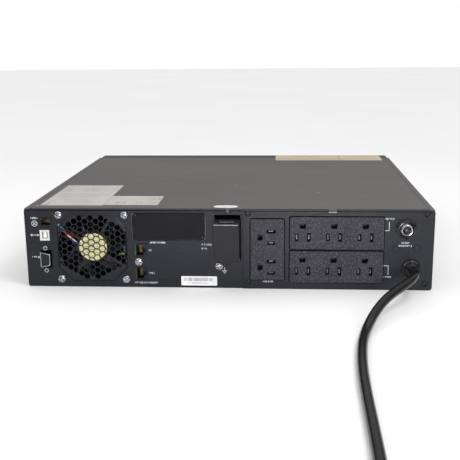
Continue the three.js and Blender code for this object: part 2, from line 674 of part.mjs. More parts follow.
const pushButton = (radius) => turned([
  [0, -8],
  [radius, -8],
  [radius, 0.2],
  [radius - 0.9, buttonProud - 0.2],
  [0, buttonProud],
], 20);
add("power_button", pushButton(powerRadius), glossBlack, [powerPlace[0], frontFace, powerPlace[1]], unit);
add("test_button", pushButton(testRadius), glossBlack, [testPlace[0], frontFace, testPlace[1]], unit);

// ---------------------------------------------------------------- battery drawer
const trayTop = 46;
const tray = cut(
  box(trayX, [trayStart, trayEnd], [trayFloor, trayTop]),
  box(grow(trayX, -sheet), grow([trayStart, trayEnd], -sheet), [trayFloor + sheet, trayTop + 1]),
);
add("battery_tray", tray, zinc, [0, 0, 0], unit);

const frontX = grow(trayOpening.x, -slideGap);
const frontZ = grow(trayOpening.z, -slideGap);
const pull = { x: [74, 148], z: [18, 36], deep: 13 };
const drawerVents = Array.from({ length: 9 }, (_, i) =>
  box([20 + 20 * i, 32 + 20 * i], [frontFace - 4, frontFace + 1], [60, 64.5]));
const trayFront = cut(
  join(
    alongY(roundedBox(frontX, frontZ, 2), [frontFace - 18, frontFace - 0.6], 2),
    box([frontX[0] + 6, frontX[1] - 6], [trayEnd + gap, frontFace - 17], [8, 40]),
  ),
  box(grow(frontX, -bezelWall), [frontFace - 15.4, frontFace - 3.2], [42, frontZ[1] - bezelWall]),
  box(pull.x, [frontFace - pull.deep, frontFace + 1], pull.z),
  ...drawerVents,
);
add("tray_front", trayFront, blackPlastic, [0, 0, 0], unit);

const batteryLift = trayFloor + sheet + gap;
const batteryMid = (trayX[0] + trayX[1]) / 2;
const { x: batteryWide, y: batteryLong, z: batteryHigh } = batterySize;
function battery() {
  const half = [-batteryWide / 2, batteryWide / 2];
  const body = box(half, [-batteryLong / 2, batteryLong / 2], [0, batteryHigh]);
  const lid = box(grow(half, -8), [-50, 50], [batteryHigh - 1, batteryHigh + 1.2]);
  const terminals = [-30, 30].map((x) =>
    box([x - 2.4, x + 2.4], [-3, 3], [batteryHigh - 1, batteryHigh + 6]));
  return join(body, lid, ...terminals);
}
[-1, 1].flatMap((side) => [0, 1].map((row) => [side, row])).forEach(([side, row], i) => {
  const y = trayEnd - sheet - 1 - (row + 0.5) * batteryLong - row;
  const x = batteryMid + side * (batteryWide / 2 + 0.8);
  add(`battery_${i + 1}`, battery(), batteryGrey, [x, y, batteryLift], unit);
});

// ---------------------------------------------------------------- power electronics
const boardZ = 9;
const board = cut(
  box([-206, -12], [rearFace + 40, rearFace + 232], [boardZ, boardZ + 1.6]),
  ...[[-200, 46], [-18, 46], [-200, 226], [-18, 226]].map(([x, y]) =>
    alongZ(regular(8, 2, [x, rearFace + y]), [0, 20])),
);
add("main_board", board, boardGreen, [0, 0, 0], unit);

const onBoard = boardZ + 1.6 + gap;
function heatSink() {
  const fins = Array.from({ length: 8 }, (_, i) => -42 + 11.6 * i)
    .map((x) => box([x, x + 1.8], [-38, 38], [3, 44]));
  return join(box([-42, 42], [-38, 38], [0, 4]), ...fins);
}
add("heat_sink", heatSink(), zinc, [-150, rearFace + 92, onBoard], unit);
const can = (radius, high) => solid(new THREE.CylinderGeometry(radius, radius, high, 16).rotateX(Math.PI / 2)
  .translate(0, 0, high / 2));
add("capacitor_1", can(12.5, 42), glossBlack, [-76, rearFace + 122, onBoard], unit);
add("capacitor_2", can(12.5, 42), glossBlack, [-44, rearFace + 122, onBoard], unit);

const coreBase = sheet + gap;
const core = cut(
  box([-60, 60], [-48, 48], [0, 72]),
  box([-40, -17], [-60, 60], [17, 55]),
  box([17, 40], [-60, 60], [17, 55]),
);
add("transformer_core", core, zinc, [-120, frontFace - 100, coreBase], unit);
const winding = cut(
  alongZ(roundedBox([-39.5, 39.5], [-62, 62], 8), [17.4, 54.6], 3),
  box([-17 - gap, 17 + gap], [-48 - gap, 48 + gap], [0, 90]),
);
add("transformer_winding", winding, amberTape, [-120, frontFace - 100, coreBase], unit);

// ---------------------------------------------------------------- mains cord
// The cord leaves the gland, bends to the left, sinks to the floor and runs out behind the unit
// to its coil. In the rear group's frame, chosen by hand; z is the height of its axis.
const lying = cordRadius + 0.1;
const coilPlace = [54.2, -471];
const coilLayers = 3;
const coilHalf = (coilLayers * cordDiameter) / 2 + 0.4;
const outerTurn = coilRadius + cordDiameter;
// How far from the coil's middle a straight run in line with its outer turn comes clear of it.
const clearRun = Math.sqrt((coilRadius + coilHalf) ** 2 - (outerTurn - cordRadius) ** 2) + 2 * gap;
const route = [
  [glandPlace[0], -glandReach - gap, glandPlace[1]],
  [196.1, -16.4, 24.8],
  [196.5, -22, 25.4],
  [195, -31.8, 26],
  [191.3, -41, 25.7],
  [185.9, -49.3, 24.4],
  [179.6, -56.8, 22.7],
  [173.1, -64.2, 21],
  [166.8, -71.8, 19.3],
  [161, -79.8, 17.5],
  [155.6, -88, 15.4],
  [150.8, -96.4, 13.1],
  [146.4, -105, 10.7],
  [142.5, -114, 8.4],
  [139.1, -123.2, 6.5],
  [136.2, -132.6, 5.3],
  [133.8, -142.3, lying],
  [130, -162, lying],
  [126.6, -190, lying],
  [124, -225, lying],
  [122.6, -265, lying],
  [121.8, -310, lying],
  [121, -355, lying],
  [119.6, -400, lying],
  [coilPlace[0] + outerTurn, coilPlace[1] + clearRun, lying],
];
const tailY = coilPlace[1] - outerTurn;
const tailZ = lying + cordDiameter;

function tube(points, steps) {
  const stops = points.map((point) => new THREE.Vector3(...point));
  const curve = new THREE.CatmullRomCurve3(stops, false, "centripetal");
  const options = { steps, extrudePath: curve, bevelEnabled: false };
  return solid(new THREE.ExtrudeGeometry(regular(10, cordRadius), options));
}
add("power_cord", tube(route, 44), glossBlack);
const coil = turned([
  [coilRadius - coilHalf, -coilHalf + 3],
  [coilRadius - coilHalf + 3, -coilHalf],
  [coilRadius + coilHalf - 3, -coilHalf],
  [coilRadius + coilHalf, -coilHalf + 3],
  [coilRadius + coilHalf, coilHalf - 3],
  [coilRadius + coilHalf - 3, coilHalf],
  [coilRadius - coilHalf + 3, coilHalf],
  [coilRadius - coilHalf, coilHalf - 3],
], 40);
const coilMesh = add("cord_coil", coil, glossBlack, [...coilPlace, coilHalf + 0.05]);
coilMesh.rotation.x = Math.PI / 2;

const tailStart = coilPlace[0] - clearRun;
const tailLength = 44;
const plugStart = tailStart - tailLength;
// A straight three-pin plug lying on its side: strain relief, body, two blades and the earth pin.
const plugBody = 34;
const plugHigh = 26;
const plugRelief = 30;
const bladeLength = 17;
function plug() {
  const front = -plugRelief - plugBody;
  const end = -plugRelief - 1;
  const relief = turned([[0, 0], [cordRadius + 1, 0], [cordRadius + 1.6, -8], [8.6, end], [0, end]], 12)
    .rotate([0, 0, -90]);
  const body = alongX(roundedBox([-13, 13], [-plugHigh / 2, plugHigh / 2], 6), [front, -plugRelief], 3);
  const blade = (y) => box([front - bladeLength, front + 1], [y - 0.75, y + 0.75], [-8.2, -1.8]);
  const earth = alongX(regular(10, 2.4, [0, 6.9]), [front - bladeLength - 3, front + 1]);
  return join(relief, body, blade(-slotPitch / 2), blade(slotPitch / 2), earth);
}
const plugZ = plugHigh / 2 + 0.1;
add("cord_plug", plug(), glossBlack, [plugStart, tailY, plugZ]);
const tail = [
  [tailStart, tailY, tailZ],
  [tailStart - tailLength / 4, tailY, tailZ],
  [plugStart + tailLength / 4, tailY, plugZ],
  [plugStart + gap, tailY, plugZ],
];
add("cord_tail", tube(tail, 8), glossBlack);

export default unit;
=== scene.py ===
import json
import math
import random

import bmesh
import bpy
from mathutils import Matrix, Vector


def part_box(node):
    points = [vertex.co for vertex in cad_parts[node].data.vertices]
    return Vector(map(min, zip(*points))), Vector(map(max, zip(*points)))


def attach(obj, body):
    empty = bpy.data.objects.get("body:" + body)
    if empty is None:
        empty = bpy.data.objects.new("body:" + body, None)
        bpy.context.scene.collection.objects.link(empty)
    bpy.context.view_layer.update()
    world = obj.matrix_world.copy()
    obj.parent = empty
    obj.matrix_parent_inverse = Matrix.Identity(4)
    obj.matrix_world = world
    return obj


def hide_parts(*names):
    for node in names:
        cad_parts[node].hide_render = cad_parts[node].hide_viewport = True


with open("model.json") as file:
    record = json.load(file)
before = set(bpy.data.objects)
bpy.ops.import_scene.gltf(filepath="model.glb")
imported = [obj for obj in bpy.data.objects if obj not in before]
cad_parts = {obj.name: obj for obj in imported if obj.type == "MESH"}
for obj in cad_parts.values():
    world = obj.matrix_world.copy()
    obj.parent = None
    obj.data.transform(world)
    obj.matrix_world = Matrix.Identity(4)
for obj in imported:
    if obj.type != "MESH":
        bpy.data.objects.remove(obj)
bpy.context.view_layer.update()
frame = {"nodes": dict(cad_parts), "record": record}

mm = 0.001
scene = bpy.context.scene
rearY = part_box("receptacle_panel")[0][1]  # outer face of the outlet panel
panelY = rearY + 1.5 * mm  # outer face of the rear panel, behind it
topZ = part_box("top_cover")[1][2]
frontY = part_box("front_bezel")[1][1]
print("frame loaded")


viewpoint = {
    "place": (0.0572, -1.0033, 0.2643),
    "swing": -3.738,  # degrees to the left
    "tilt": 13.728,  # degrees down
    "roll": -0.565,
    "lens": 61.66,
}


def makeCamera():
    swing, tilt, roll = (math.radians(viewpoint[k]) for k in ("swing", "tilt", "roll"))
    forward = Vector((math.sin(swing) * math.cos(tilt), math.cos(swing) * math.cos(tilt), -math.sin(tilt)))
    across = Vector((math.cos(swing), -math.sin(swing), 0))
    upward = across.cross(forward)
    right = across * math.cos(roll) + upward * math.sin(roll)
    top = upward * math.cos(roll) - across * math.sin(roll)
    data = bpy.data.cameras.new("camera")
    data.sensor_width = 36
    data.lens = viewpoint["lens"]
    camera = bpy.data.objects.new("camera", data)
    turn = Matrix((right, top, -forward)).transposed().to_4x4()
    camera.matrix_world = Matrix.Translation(viewpoint["place"]) @ turn
    scene.collection.objects.link(camera)
    scene.camera = camera


studio = {
    "low": 0.12,  # what the object sees of the room: dark near the ground, bright overhead
    "high": 1.35,
    "from": 0.15,
    "to": 0.55,
    "key": {"place": (0.45, -0.6, 1.0), "aim": (0.0, -0.1, 0.05), "size": 0.35, "watts": 3.2},
    "front": {"place": (0.09, -1.25, 0.06), "aim": (0.03, -0.19, 0.044), "size": 0.22, "watts": 7},
    "left": {"place": (-1.4, -0.5, 0.7), "aim": (0.0, 0.0, 0.05), "size": 0.4, "watts": 1.2},
}


# Links node sockets, each as (node, output, node, input)
def wire(tree, *links):
    for source, output, target, socket in links:
        tree.links.new(source.outputs[output], target.inputs[socket])


# The camera sees plain white behind the object
def makeWorld():
    world = bpy.data.worlds.new("studio")
    world.use_nodes = True
    tree = world.node_tree
    seen = tree.nodes["Background"]
    seen.inputs["Color"].default_value = (1.0, 1.0, 1.0, 1.0)
    kinds = ("Background", "TexCoord", "SeparateXYZ", "MapRange", "LightPath", "MixShader")
    room, place, parts, ramp, path, mix = (tree.nodes.new("ShaderNode" + kind) for kind in kinds)
    for socket, key in (("From Min", "from"), ("From Max", "to"), ("To Min", "low"), ("To Max", "high")):
        ramp.inputs[socket].default_value = studio[key]
    wire(tree, (place, "Generated", parts, "Vector"), (parts, "Z", ramp, "Value"),
         (ramp, "Result", room, "Strength"), (path, "Is Camera Ray", mix, 0),
         (room, "Background", mix, 1), (seen, "Background", mix, 2),
         (mix, "Shader", tree.nodes["World Output"], "Surface"))
    scene.world = world
def makeStudio():
    makeWorld()
    for name in ("key", "front", "left"):
        lamp = studio[name]
        data = bpy.data.lights.new(name + " light", "AREA")
        data.size = lamp["size"]
        data.energy = lamp["watts"]
        light = bpy.data.objects.new(name + " light", data)
        light.location = lamp["place"]
        aim = Vector(lamp["aim"]) - Vector(lamp["place"])
        light.rotation_euler = aim.to_track_quat("-Z", "Y").to_euler()
        scene.collection.objects.link(light)
    scene.view_settings.view_transform = "Standard"


makeCamera()
makeStudio()


def rgb(colour):
    parts = (c / 255 for c in colour)
    return tuple(c / 12.92 if c <= 0.04045 else ((c + 0.055) / 1.055) ** 2.4 for c in parts) + (1.0,)


paint = {
    "patchBand": (0.35, 0.65),  # noise between which the colour turns into its patch colour
    "roughBand": (0.3, 0.7),
    "roughScale": 6,  # roughness clouds across one colour patch
    "sheen": 0.03,  # lowest roughness
    "marksFrom": 0.74,  # noise above which marks show, less markShare for a share of 1
    "markShare": 0.3,
    "markEdge": 0.08,
    "coatRough": 0.12,
}


# colour drifts to patch; grain is (scale, depth in mm); specks and scuffs are (scale, colour, share)
def makeFinish(name, colour, patch, rough=0.5, spread=0.08, metal=0.0, patches=30.0, stretch=(1, 1, 1),
               grain=None, specks=None, scuffs=None, coat=0.0, specular=0.5):
    finish = bpy.data.materials.new(name)
    finish.use_nodes = True
    tree = finish.node_tree
    shader = tree.nodes["Principled BSDF"]
    shader.inputs["Metallic"].default_value = metal
    shader.inputs["Specular IOR Level"].default_value = specular
    if coat:
        shader.inputs["Coat Weight"].default_value = coat
        shader.inputs["Coat Roughness"].default_value = paint["coatRough"]
    place, mapping = (tree.nodes.new("ShaderNode" + kind) for kind in ("TexCoord", "Mapping"))
    mapping.inputs["Scale"].default_value = stretch
    wire(tree, (place, "Object", mapping, "Vector"))

    def cloud(scale, detail=3.0, stretched=False):
        noise = tree.nodes.new("ShaderNodeTexNoise")
        noise.inputs["Scale"].default_value = scale
        noise.inputs["Detail"].default_value = detail
        wire(tree, (*((mapping, "Vector") if stretched else (place, "Object")), noise, "Vector"))
        return noise.outputs["Fac"]

    def ranged(value, low, high, out=(0.0, 1.0)):
        span = tree.nodes.new("ShaderNodeMapRange")
        for socket, number in zip(("From Min", "From Max", "To Min", "To Max"), (low, high, *out)):
            span.inputs[socket].default_value = number
        tree.links.new(value, span.inputs["Value"])
        return span.outputs["Result"]

    def mixed(share, first, second):
        mix = tree.nodes.new("ShaderNodeMix")
        mix.data_type = "RGBA"
        tree.links.new(share, mix.inputs[0])
        for socket, value in ((mix.inputs[6], first), (mix.inputs[7], second)):
            if isinstance(value, tuple):
                socket.default_value = rgb(value)
            else:
                tree.links.new(value, socket)
        return mix.outputs[2]

    tint = mixed(ranged(cloud(patches, 5.0, True), *paint["patchBand"]), colour, patch)
    for marks in (specks, scuffs):
        if marks:
            scale, shade, share = marks
            low = paint["marksFrom"] - paint["markShare"] * share
            tint = mixed(ranged(cloud(scale, 2.0, marks is scuffs), low, low + paint["markEdge"]), tint, shade)
    tree.links.new(tint, shader.inputs["Base Color"])
    span = (max(rough - spread, paint["sheen"]), rough + spread)
    tree.links.new(ranged(cloud(patches * paint["roughScale"], 4.0, True), *paint["roughBand"], span),
                   shader.inputs["Roughness"])
    if grain:
        scale, depth = grain
        bump = tree.nodes.new("ShaderNodeBump")
        bump.inputs["Strength"].default_value = 1.0
        bump.inputs["Distance"].default_value = depth * mm
        tree.links.new(cloud(scale, 3.0, True), bump.inputs["Height"])
        tree.links.new(bump.outputs["Normal"], shader.inputs["Normal"])
    return finish


finishes = {
    "black_paint": makeFinish("black powder coat", (15, 17, 23), (21, 23, 30), 0.42, 0.05, patches=14,
            grain=(1500, 0.05), specks=(1300, (56, 58, 68), 0.38), specular=0.28),
    "case_paint": makeFinish("satin case paint", (89, 87, 86), (93, 91, 90), 0.6, 0.03, patches=7,
            stretch=(0.5, 2.5, 1), grain=(1300, 0.03), scuffs=(160, (99, 97, 95), 0.2), specular=0.25),
    "zinc_steel": makeFinish("zinc-plated steel", (160, 162, 165), (178, 180, 184), 0.36, 0.1, 1.0, 60,
            (1, 1, 0.2), (900, 0.01), scuffs=(500, (120, 122, 126), 0.3)),
    "core_steel": makeFinish("laminated core", (84, 84, 88), (108, 108, 112), 0.45, 0.1, 0.9, 40, (1, 12, 1),
            (260, 0.12), specks=(420, (70, 58, 48), 0.3)),
    "heat_sink": makeFinish("extruded aluminium", (150, 152, 156), (172, 174, 178), 0.34, 0.08, 1.0, 60,
            (1, 0.05, 1), (1200, 0.02)),
    "chrome": makeFinish("bright chrome", (150, 150, 157), (182, 182, 188), 0.15, 0.06, 1.0, 180,
            grain=(600, 0.006), specks=(900, (120, 116, 118), 0.3)),
    "black_screw": makeFinish("blackened screw", (18, 18, 20), (28, 28, 31), 0.34, 0.1, 0.4, 300,
            grain=(1800, 0.01), specks=(1500, (54, 54, 58), 0.35)),
    "outlet_plastic": makeFinish("spark-textured nylon", (31, 31, 37), (41, 41, 48), 0.55, 0.08, patches=60,
            grain=(1100, 0.12), specks=(1250, (90, 88, 98), 0.55), specular=0.28),
    "jack_plastic": makeFinish("jack housing", (13, 13, 14), (22, 22, 24), 0.3, 0.08, patches=120,
            grain=(1600, 0.015), specular=0.35),
    "fan_plastic": makeFinish("fan plastic", (15, 15, 17), (26, 26, 29), 0.3, 0.08, patches=70,
            grain=(1500, 0.02), scuffs=(260, (38, 38, 42), 0.3)),
    "bezel_plastic": makeFinish("fine-grained bezel", (22, 22, 24), (29, 29, 31), 0.46, 0.07, patches=26,
            grain=(1700, 0.05), specks=(2000, (48, 48, 52), 0.3)),
    "gloss_black": makeFinish("gloss black", (8, 8, 9), (13, 13, 14), 0.2, 0.05, patches=150,
            grain=(900, 0.004), specular=0.55),
    "window_plastic": makeFinish("smoked window", (6, 8, 12), (12, 14, 20), 0.08, 0.03, patches=60,
            grain=(300, 0.003), coat=0.6),
    "circuit_board": makeFinish("solder mask", (20, 74, 44), (30, 96, 58), 0.36, 0.06, patches=240,
            stretch=(1, 4, 1), grain=(420, 0.03), specks=(520, (150, 150, 120), 0.35)),
    "battery_case": makeFinish("battery case", (50, 52, 57), (62, 64, 70), 0.5, 0.08, patches=34,
            grain=(1100, 0.05), scuffs=(180, (86, 88, 94), 0.3)),
    "winding_tape": makeFinish("winding tape", (196, 152, 44), (214, 176, 72), 0.34, 0.08, patches=50,
            stretch=(1, 1, 9), grain=(240, 0.12), scuffs=(120, (150, 108, 30), 0.4)),
    "cord_jacket": makeFinish("cord jacket", (8, 8, 8), (13, 13, 13), 0.24, 0.05, patches=110,
            grain=(700, 0.02), scuffs=(420, (20, 20, 21), 0.25), specular=0.22),
}
ink = makeFinish("screen print", (176, 180, 190), (204, 207, 215), 0.6, 0.1, patches=900, grain=(2600, 0.01))
labelPaper = makeFinish("silver label", (180, 177, 171), (196, 193, 188), 0.42, 0.1, patches=16,
        stretch=(1, 0.3, 1), grain=(420, 0.02), scuffs=(90, (158, 154, 148), 0.35))
labelInk = makeFinish("label print", (132, 129, 125), (150, 147, 143), 0.5, 0.1, patches=700,
        grain=(1800, 0.01))
darkInk = makeFinish("dark label print", (74, 73, 74), (102, 101, 103), 0.5, 0.1, patches=700,
        grain=(1800, 0.01))
whitePaper = makeFinish("white label", (226, 226, 230), (240, 240, 243), 0.4, 0.08, patches=120,
        grain=(900, 0.01))
tanPaper = makeFinish("aged tape label", (181, 165, 137), (196, 182, 156), 0.5, 0.1, patches=26,
        stretch=(1, 3, 1), grain=(600, 0.03), scuffs=(110, (162, 144, 114), 0.4))
creamPaper = makeFinish("fan hub label", (222, 218, 158), (235, 232, 184), 0.5, 0.1, patches=160,
        grain=(900, 0.02), specks=(500, (176, 172, 116), 0.4))
brass = makeFinish("contact brass", (120, 98, 66), (146, 124, 88), 0.4, 0.1, 1.0, 300, grain=(700, 0.01))
contactMetal = makeFinish("sprung contact", (112, 110, 114), (146, 142, 140), 0.42, 0.1, 0.9, 300,
        grain=(700, 0.01))
# Light grey for bare metal on the small rear tab, and for painted highlights on the notch edge and along the
# connector cover's top edge
bareMetalAndHighlight = makeFinish("bare metal and painted highlight", (120, 122, 132), (146, 148, 156), 0.4, 0.1, 0.3, 200, grain=(900, 0.01))
seamShade = makeFinish("shadow gap", (3, 3, 4), (5, 5, 6), 0.8, 0.05, patches=200, grain=(900, 0.01),
        specular=0.05)
tin = makeFinish("tinned steel", (206, 206, 210), (226, 226, 229), 0.34, 0.08, 0.75, 200, grain=(900, 0.01))
hookTape = makeFinish("hook tape", (16, 16, 17), (27, 27, 29), 0.9, 0.06, patches=300, grain=(1400, 0.3),
        specks=(1100, (46, 46, 49), 0.5))
wireColours = {
    "red": makeFinish("red wire", (176, 30, 30), (200, 52, 44), 0.34, 0.08, patches=300, grain=(900, 0.01)),
    "blue": makeFinish("blue wire", (34, 92, 168), (60, 122, 196), 0.34, 0.08, patches=300, grain=(900, 0.01)),
    "white": makeFinish("white wire", (206, 202, 196), (226, 223, 218), 0.38, 0.08, patches=300,
            grain=(900, 0.01)),
    "black": makeFinish("black wire", (12, 12, 13), (22, 22, 24), 0.34, 0.08, patches=300, grain=(900, 0.01)),
    "earth": makeFinish("earth wire", (112, 138, 42), (136, 160, 56), 0.34, 0.08, patches=200,
            grain=(900, 0.01), scuffs=(160, (40, 110, 50), 0.5)),
}
for part in frame["record"]["subparts"]:
    node = frame["nodes"][part["node"]]
    node.data.materials.clear()
    node.data.materials.append(finishes[part["material_slot"]])
print("finishes made")


def place(piece, finish, body="case", slot=None, stands=()):
    piece.data.materials.clear()
    piece.data.materials.append(finish)
    if piece.name not in scene.collection.objects:
        scene.collection.objects.link(piece)
    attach(piece, body)
    if stands:
        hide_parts(*stands)
    return piece


# A mesh piece from bmesh work, smooth where faces meet under that many degrees
def pieceFrom(work, name, smooth=40):
    bmesh.ops.remove_doubles(work, verts=work.verts, dist=2e-6)
    bmesh.ops.recalc_face_normals(work, faces=work.faces)
    for face in work.faces:
        face.smooth = True
    for edge in work.edges:
        edge.smooth = len(edge.link_faces) == 2 and edge.calc_face_angle() < math.radians(smooth)
    mesh = bpy.data.meshes.new(name)
    work.to_mesh(mesh)
    work.free()
    return bpy.data.objects.new(name, mesh)


# A piece to repeat, drawn about the rear face's place and moved to y = 0
def templateFrom(work, name, smooth=30):
    bmesh.ops.translate(work, verts=work.verts, vec=(0, -rearY, 0))
    return pieceFrom(work, name, smooth)


# Side walls between rings of vertices of the same count, and flat ends
def addLoft(work, rings):
    for first, second in zip(rings, rings[1:]):
        for k in range(len(first)):
            j = (k + 1) % len(first)
            work.faces.new((first[k], first[j], second[j], second[k]))
    work.faces.new(rings[0])
    work.faces.new(rings[-1])


# x, y and z are (low, high) in millimetres, with y counted inwards from the outlet panel's face
def addBox(work, x, y, z):
    corners = [work.verts.new((a * mm, rearY + b * mm, c * mm)) for a in x for b in y for c in z]
    for face in ((0, 1, 3, 2), (4, 6, 7, 5), (0, 4, 5, 1), (2, 3, 7, 6), (0, 2, 6, 4), (1, 5, 7, 3)):
        work.faces.new([corners[i] for i in face])


# A closed plate from an outline: (x, z) drawn along y, or (x, y) drawn along z
def addPlate(work, outline, low, high, axis="y"):
    def spot(point, level):
        a, b = point
        return (a * mm, rearY + level * mm, b * mm) if axis == "y" else (a * mm, rearY + b * mm, level * mm)
    near = [work.verts.new(spot(p, low)) for p in outline]
    far = [work.verts.new(spot(p, high)) for p in outline]
    work.faces.new(near)
    work.faces.new(far[::-1])
    for i in range(len(outline)):
        j = (i + 1) % len(outline)
        work.faces.new((near[j], near[i], far[i], far[j]))


# An ellipse of those half widths, squarer as power falls below 1
def squareOutline(half, power, count):
    turns = [2 * math.pi * k / count for k in range(count)]
    return [tuple(h * math.copysign(abs(c) ** power, c) for h, c in zip(half, (math.cos(t), math.sin(t))))
            for t in turns]


# A flat ring between two outlines with the same count of points
def addFrame(work, outer, inner, low, high):
    rings = [[work.verts.new((x * mm, rearY + y * mm, z * mm)) for x, z in outline]
             for outline in (outer, inner) for y in (low, high)]
    for first, second in ((0, 1), (1, 3), (3, 2), (2, 0)):
        for k in range(len(outer)):
            j = (k + 1) % len(outer)
            work.faces.new((rings[first][k], rings[first][j], rings[second][j], rings[second][k]))


def roundedOutline(x, z, radius, steps=5):
    centres = ((x[1] - radius, z[1] - radius, 0), (x[0] + radius, z[1] - radius, 90),
               (x[0] + radius, z[0] + radius, 180), (x[1] - radius, z[0] + radius, 270))
    return [(cx + radius * math.cos(math.radians(start + 90 * k / steps)),
             cz + radius * math.sin(math.radians(start + 90 * k / steps)))
            for cx, cz, start in centres for k in range(steps + 1)]


# A turned solid about the y axis through centre (x, z), from (radius, y) points along a closed profile
def addTurned(work, profile, centre, sides=48):
    rings = []
    for radius, y in profile:
        if radius < 1e-6:
            rings.append([work.verts.new((centre[0] * mm, rearY + y * mm, centre[1] * mm))])
            continue
        rings.append([work.verts.new((
            (centre[0] + radius * math.cos(2 * math.pi * k / sides)) * mm,
            rearY + y * mm,
            (centre[1] + radius * math.sin(2 * math.pi * k / sides)) * mm,
        )) for k in range(sides)])
    closed = profile[0][0] > 1e-6
    pairs = list(zip(rings, rings[1:])) + ([(rings[-1], rings[0])] if closed else [])
    for first, second in pairs:
        for k in range(sides):
            j = (k + 1) % sides
            corners = [ring[i % len(ring)] for ring, i in ((first, k), (first, j), (second, j), (second, k))]
            corners = list(dict.fromkeys(corners))
            if len(corners) > 2:
                work.faces.new(corners)


# Nodes whose faces have holes in them, so their triangles are kept
perforated = ("rear_panel", "receptacle_panel", "top_cover", "chassis_base", "front_bezel", "tray_front")


# A copy of a frame node with its edges rounded by width millimetres, standing for it
def softened(name, node, width, finish, slot, body="case", segments=2):
    work = bmesh.new()
    work.from_mesh(frame["nodes"][node].data)
    bmesh.ops.remove_doubles(work, verts=work.verts, dist=2e-6)
    if node not in perforated:
        bmesh.ops.dissolve_limit(work, angle_limit=math.radians(0.6), verts=work.verts, edges=work.edges)
    for face in work.faces:
        face.smooth = True
    mesh = bpy.data.meshes.new(name)
    work.to_mesh(mesh)
    work.free()
    piece = bpy.data.objects.new(name, mesh)
    bevel = piece.modifiers.new("softEdges", "BEVEL")
    bevel.width = width * mm
    bevel.segments = segments
    bevel.limit_method = "ANGLE"
    bevel.angle_limit = math.radians(38)
    bevel.use_clamp_overlap = False
    level = piece.modifiers.new("flatFaces", "WEIGHTED_NORMAL")
    level.mode = "FACE_AREA"
    level.weight = 100
    level.keep_sharp = True
    return place(piece, finish, body, slot, [node])


# A new tree with its own named inputs, its group nodes and one node of each kind
def newTree(name, inputs, kinds):
    tree = bpy.data.node_groups.new(name, "GeometryNodeTree")
    tree.interface.new_socket("Geometry", in_out="INPUT", socket_type="NodeSocketGeometry")
    for label, kind, value in (("Piece", "Object", None), *inputs, ("Finish", "Material", None)):
        socket = tree.interface.new_socket(label, in_out="INPUT", socket_type="NodeSocket" + kind)
        if value is not None:
            socket.default_value = value
    tree.interface.new_socket("Geometry", in_out="OUTPUT", socket_type="NodeSocketGeometry")
    return tree, *(tree.nodes.new(kind) for kind in (
        "NodeGroupInput", "NodeGroupOutput", "GeometryNodeObjectInfo", "GeometryNodeInstanceOnPoints", *kinds))


# Ends a tree in Realize Instances and Set Material
def endTree(tree, given, result, instances):
    real, coat = (tree.nodes.new("GeometryNode" + kind) for kind in ("RealizeInstances", "SetMaterial"))
    wire(tree, (instances, "Instances", real, "Geometry"), (real, "Geometry", coat, "Geometry"),
         (given, "Finish", coat, "Material"), (coat, "Geometry", result, "Geometry"))
    return tree


# Puts Piece on each point, turned about its own y axis by a seeded angle of up to Spin
def buildScatterTree():
    tree, given, result, source, put, points, chance, turn = newTree(
        "piece on each place", [("Size", "Float", 1.0), ("Spin", "Float", 0.0), ("Seed", "Int", 3)],
        ["GeometryNodeMeshToPoints", "FunctionNodeRandomValue", "ShaderNodeCombineXYZ"])
    wire(tree, (given, "Geometry", points, "Mesh"), (given, "Piece", source, "Object"),
         (given, "Spin", chance, 3), (given, "Seed", chance, "Seed"), (chance, 1, turn, "Y"),
         (points, "Points", put, "Points"),
         (source, "Geometry", put, "Instance"), (turn, "Vector", put, "Rotation"),
         (given, "Size", put, "Scale"))
    return endTree(tree, given, result, put)


# Puts Count pieces evenly round the y axis, each Radius out
def buildRingTree():
    tree, given, result, source, put, row, index, share, angle, turn, out, shift = newTree(
        "pieces round an axis", [("Count", "Int", 12), ("Radius", "Float", 0.01), ("Start", "Float", 0.0)],
        ["GeometryNodeMeshLine", "GeometryNodeInputIndex", "ShaderNodeMath", "ShaderNodeMath",
         "ShaderNodeCombineXYZ", "ShaderNodeCombineXYZ", "GeometryNodeTranslateInstances"])
    share.operation = "DIVIDE"
    angle.operation = "MULTIPLY_ADD"
    angle.inputs[1].default_value = 2 * math.pi
    row.inputs["Offset"].default_value = (0, 0, 0)
    wire(tree, (given, "Count", row, "Count"), (given, "Piece", source, "Object"), (index, 0, share, 0),
         (given, "Count", share, 1), (share, 0, angle, 0), (given, "Start", angle, 2), (angle, 0, turn, "Y"),
         (row, "Mesh", put, "Points"), (source, "Geometry", put, "Instance"), (turn, "Vector", put, "Rotation"),
         (put, "Instances", shift, "Instances"), (given, "Radius", out, "X"),
         (out, "Vector", shift, "Translation"))
    return endTree(tree, given, result, shift)


# Puts Count pieces in a straight row, Step apart
def buildRowTree():
    tree, given, result, source, put, row = newTree(
        "pieces in a row", [("Count", "Int", 8), ("Step", "Vector", None)], ["GeometryNodeMeshLine"])
    wire(tree, (given, "Count", row, "Count"), (given, "Step", row, "Offset"),
         (given, "Piece", source, "Object"), (row, "Mesh", put, "Points"),
         (source, "Geometry", put, "Instance"))
    return endTree(tree, given, result, put)
scatterTree, ringTree, rowTree = buildScatterTree(), buildRingTree(), buildRowTree()


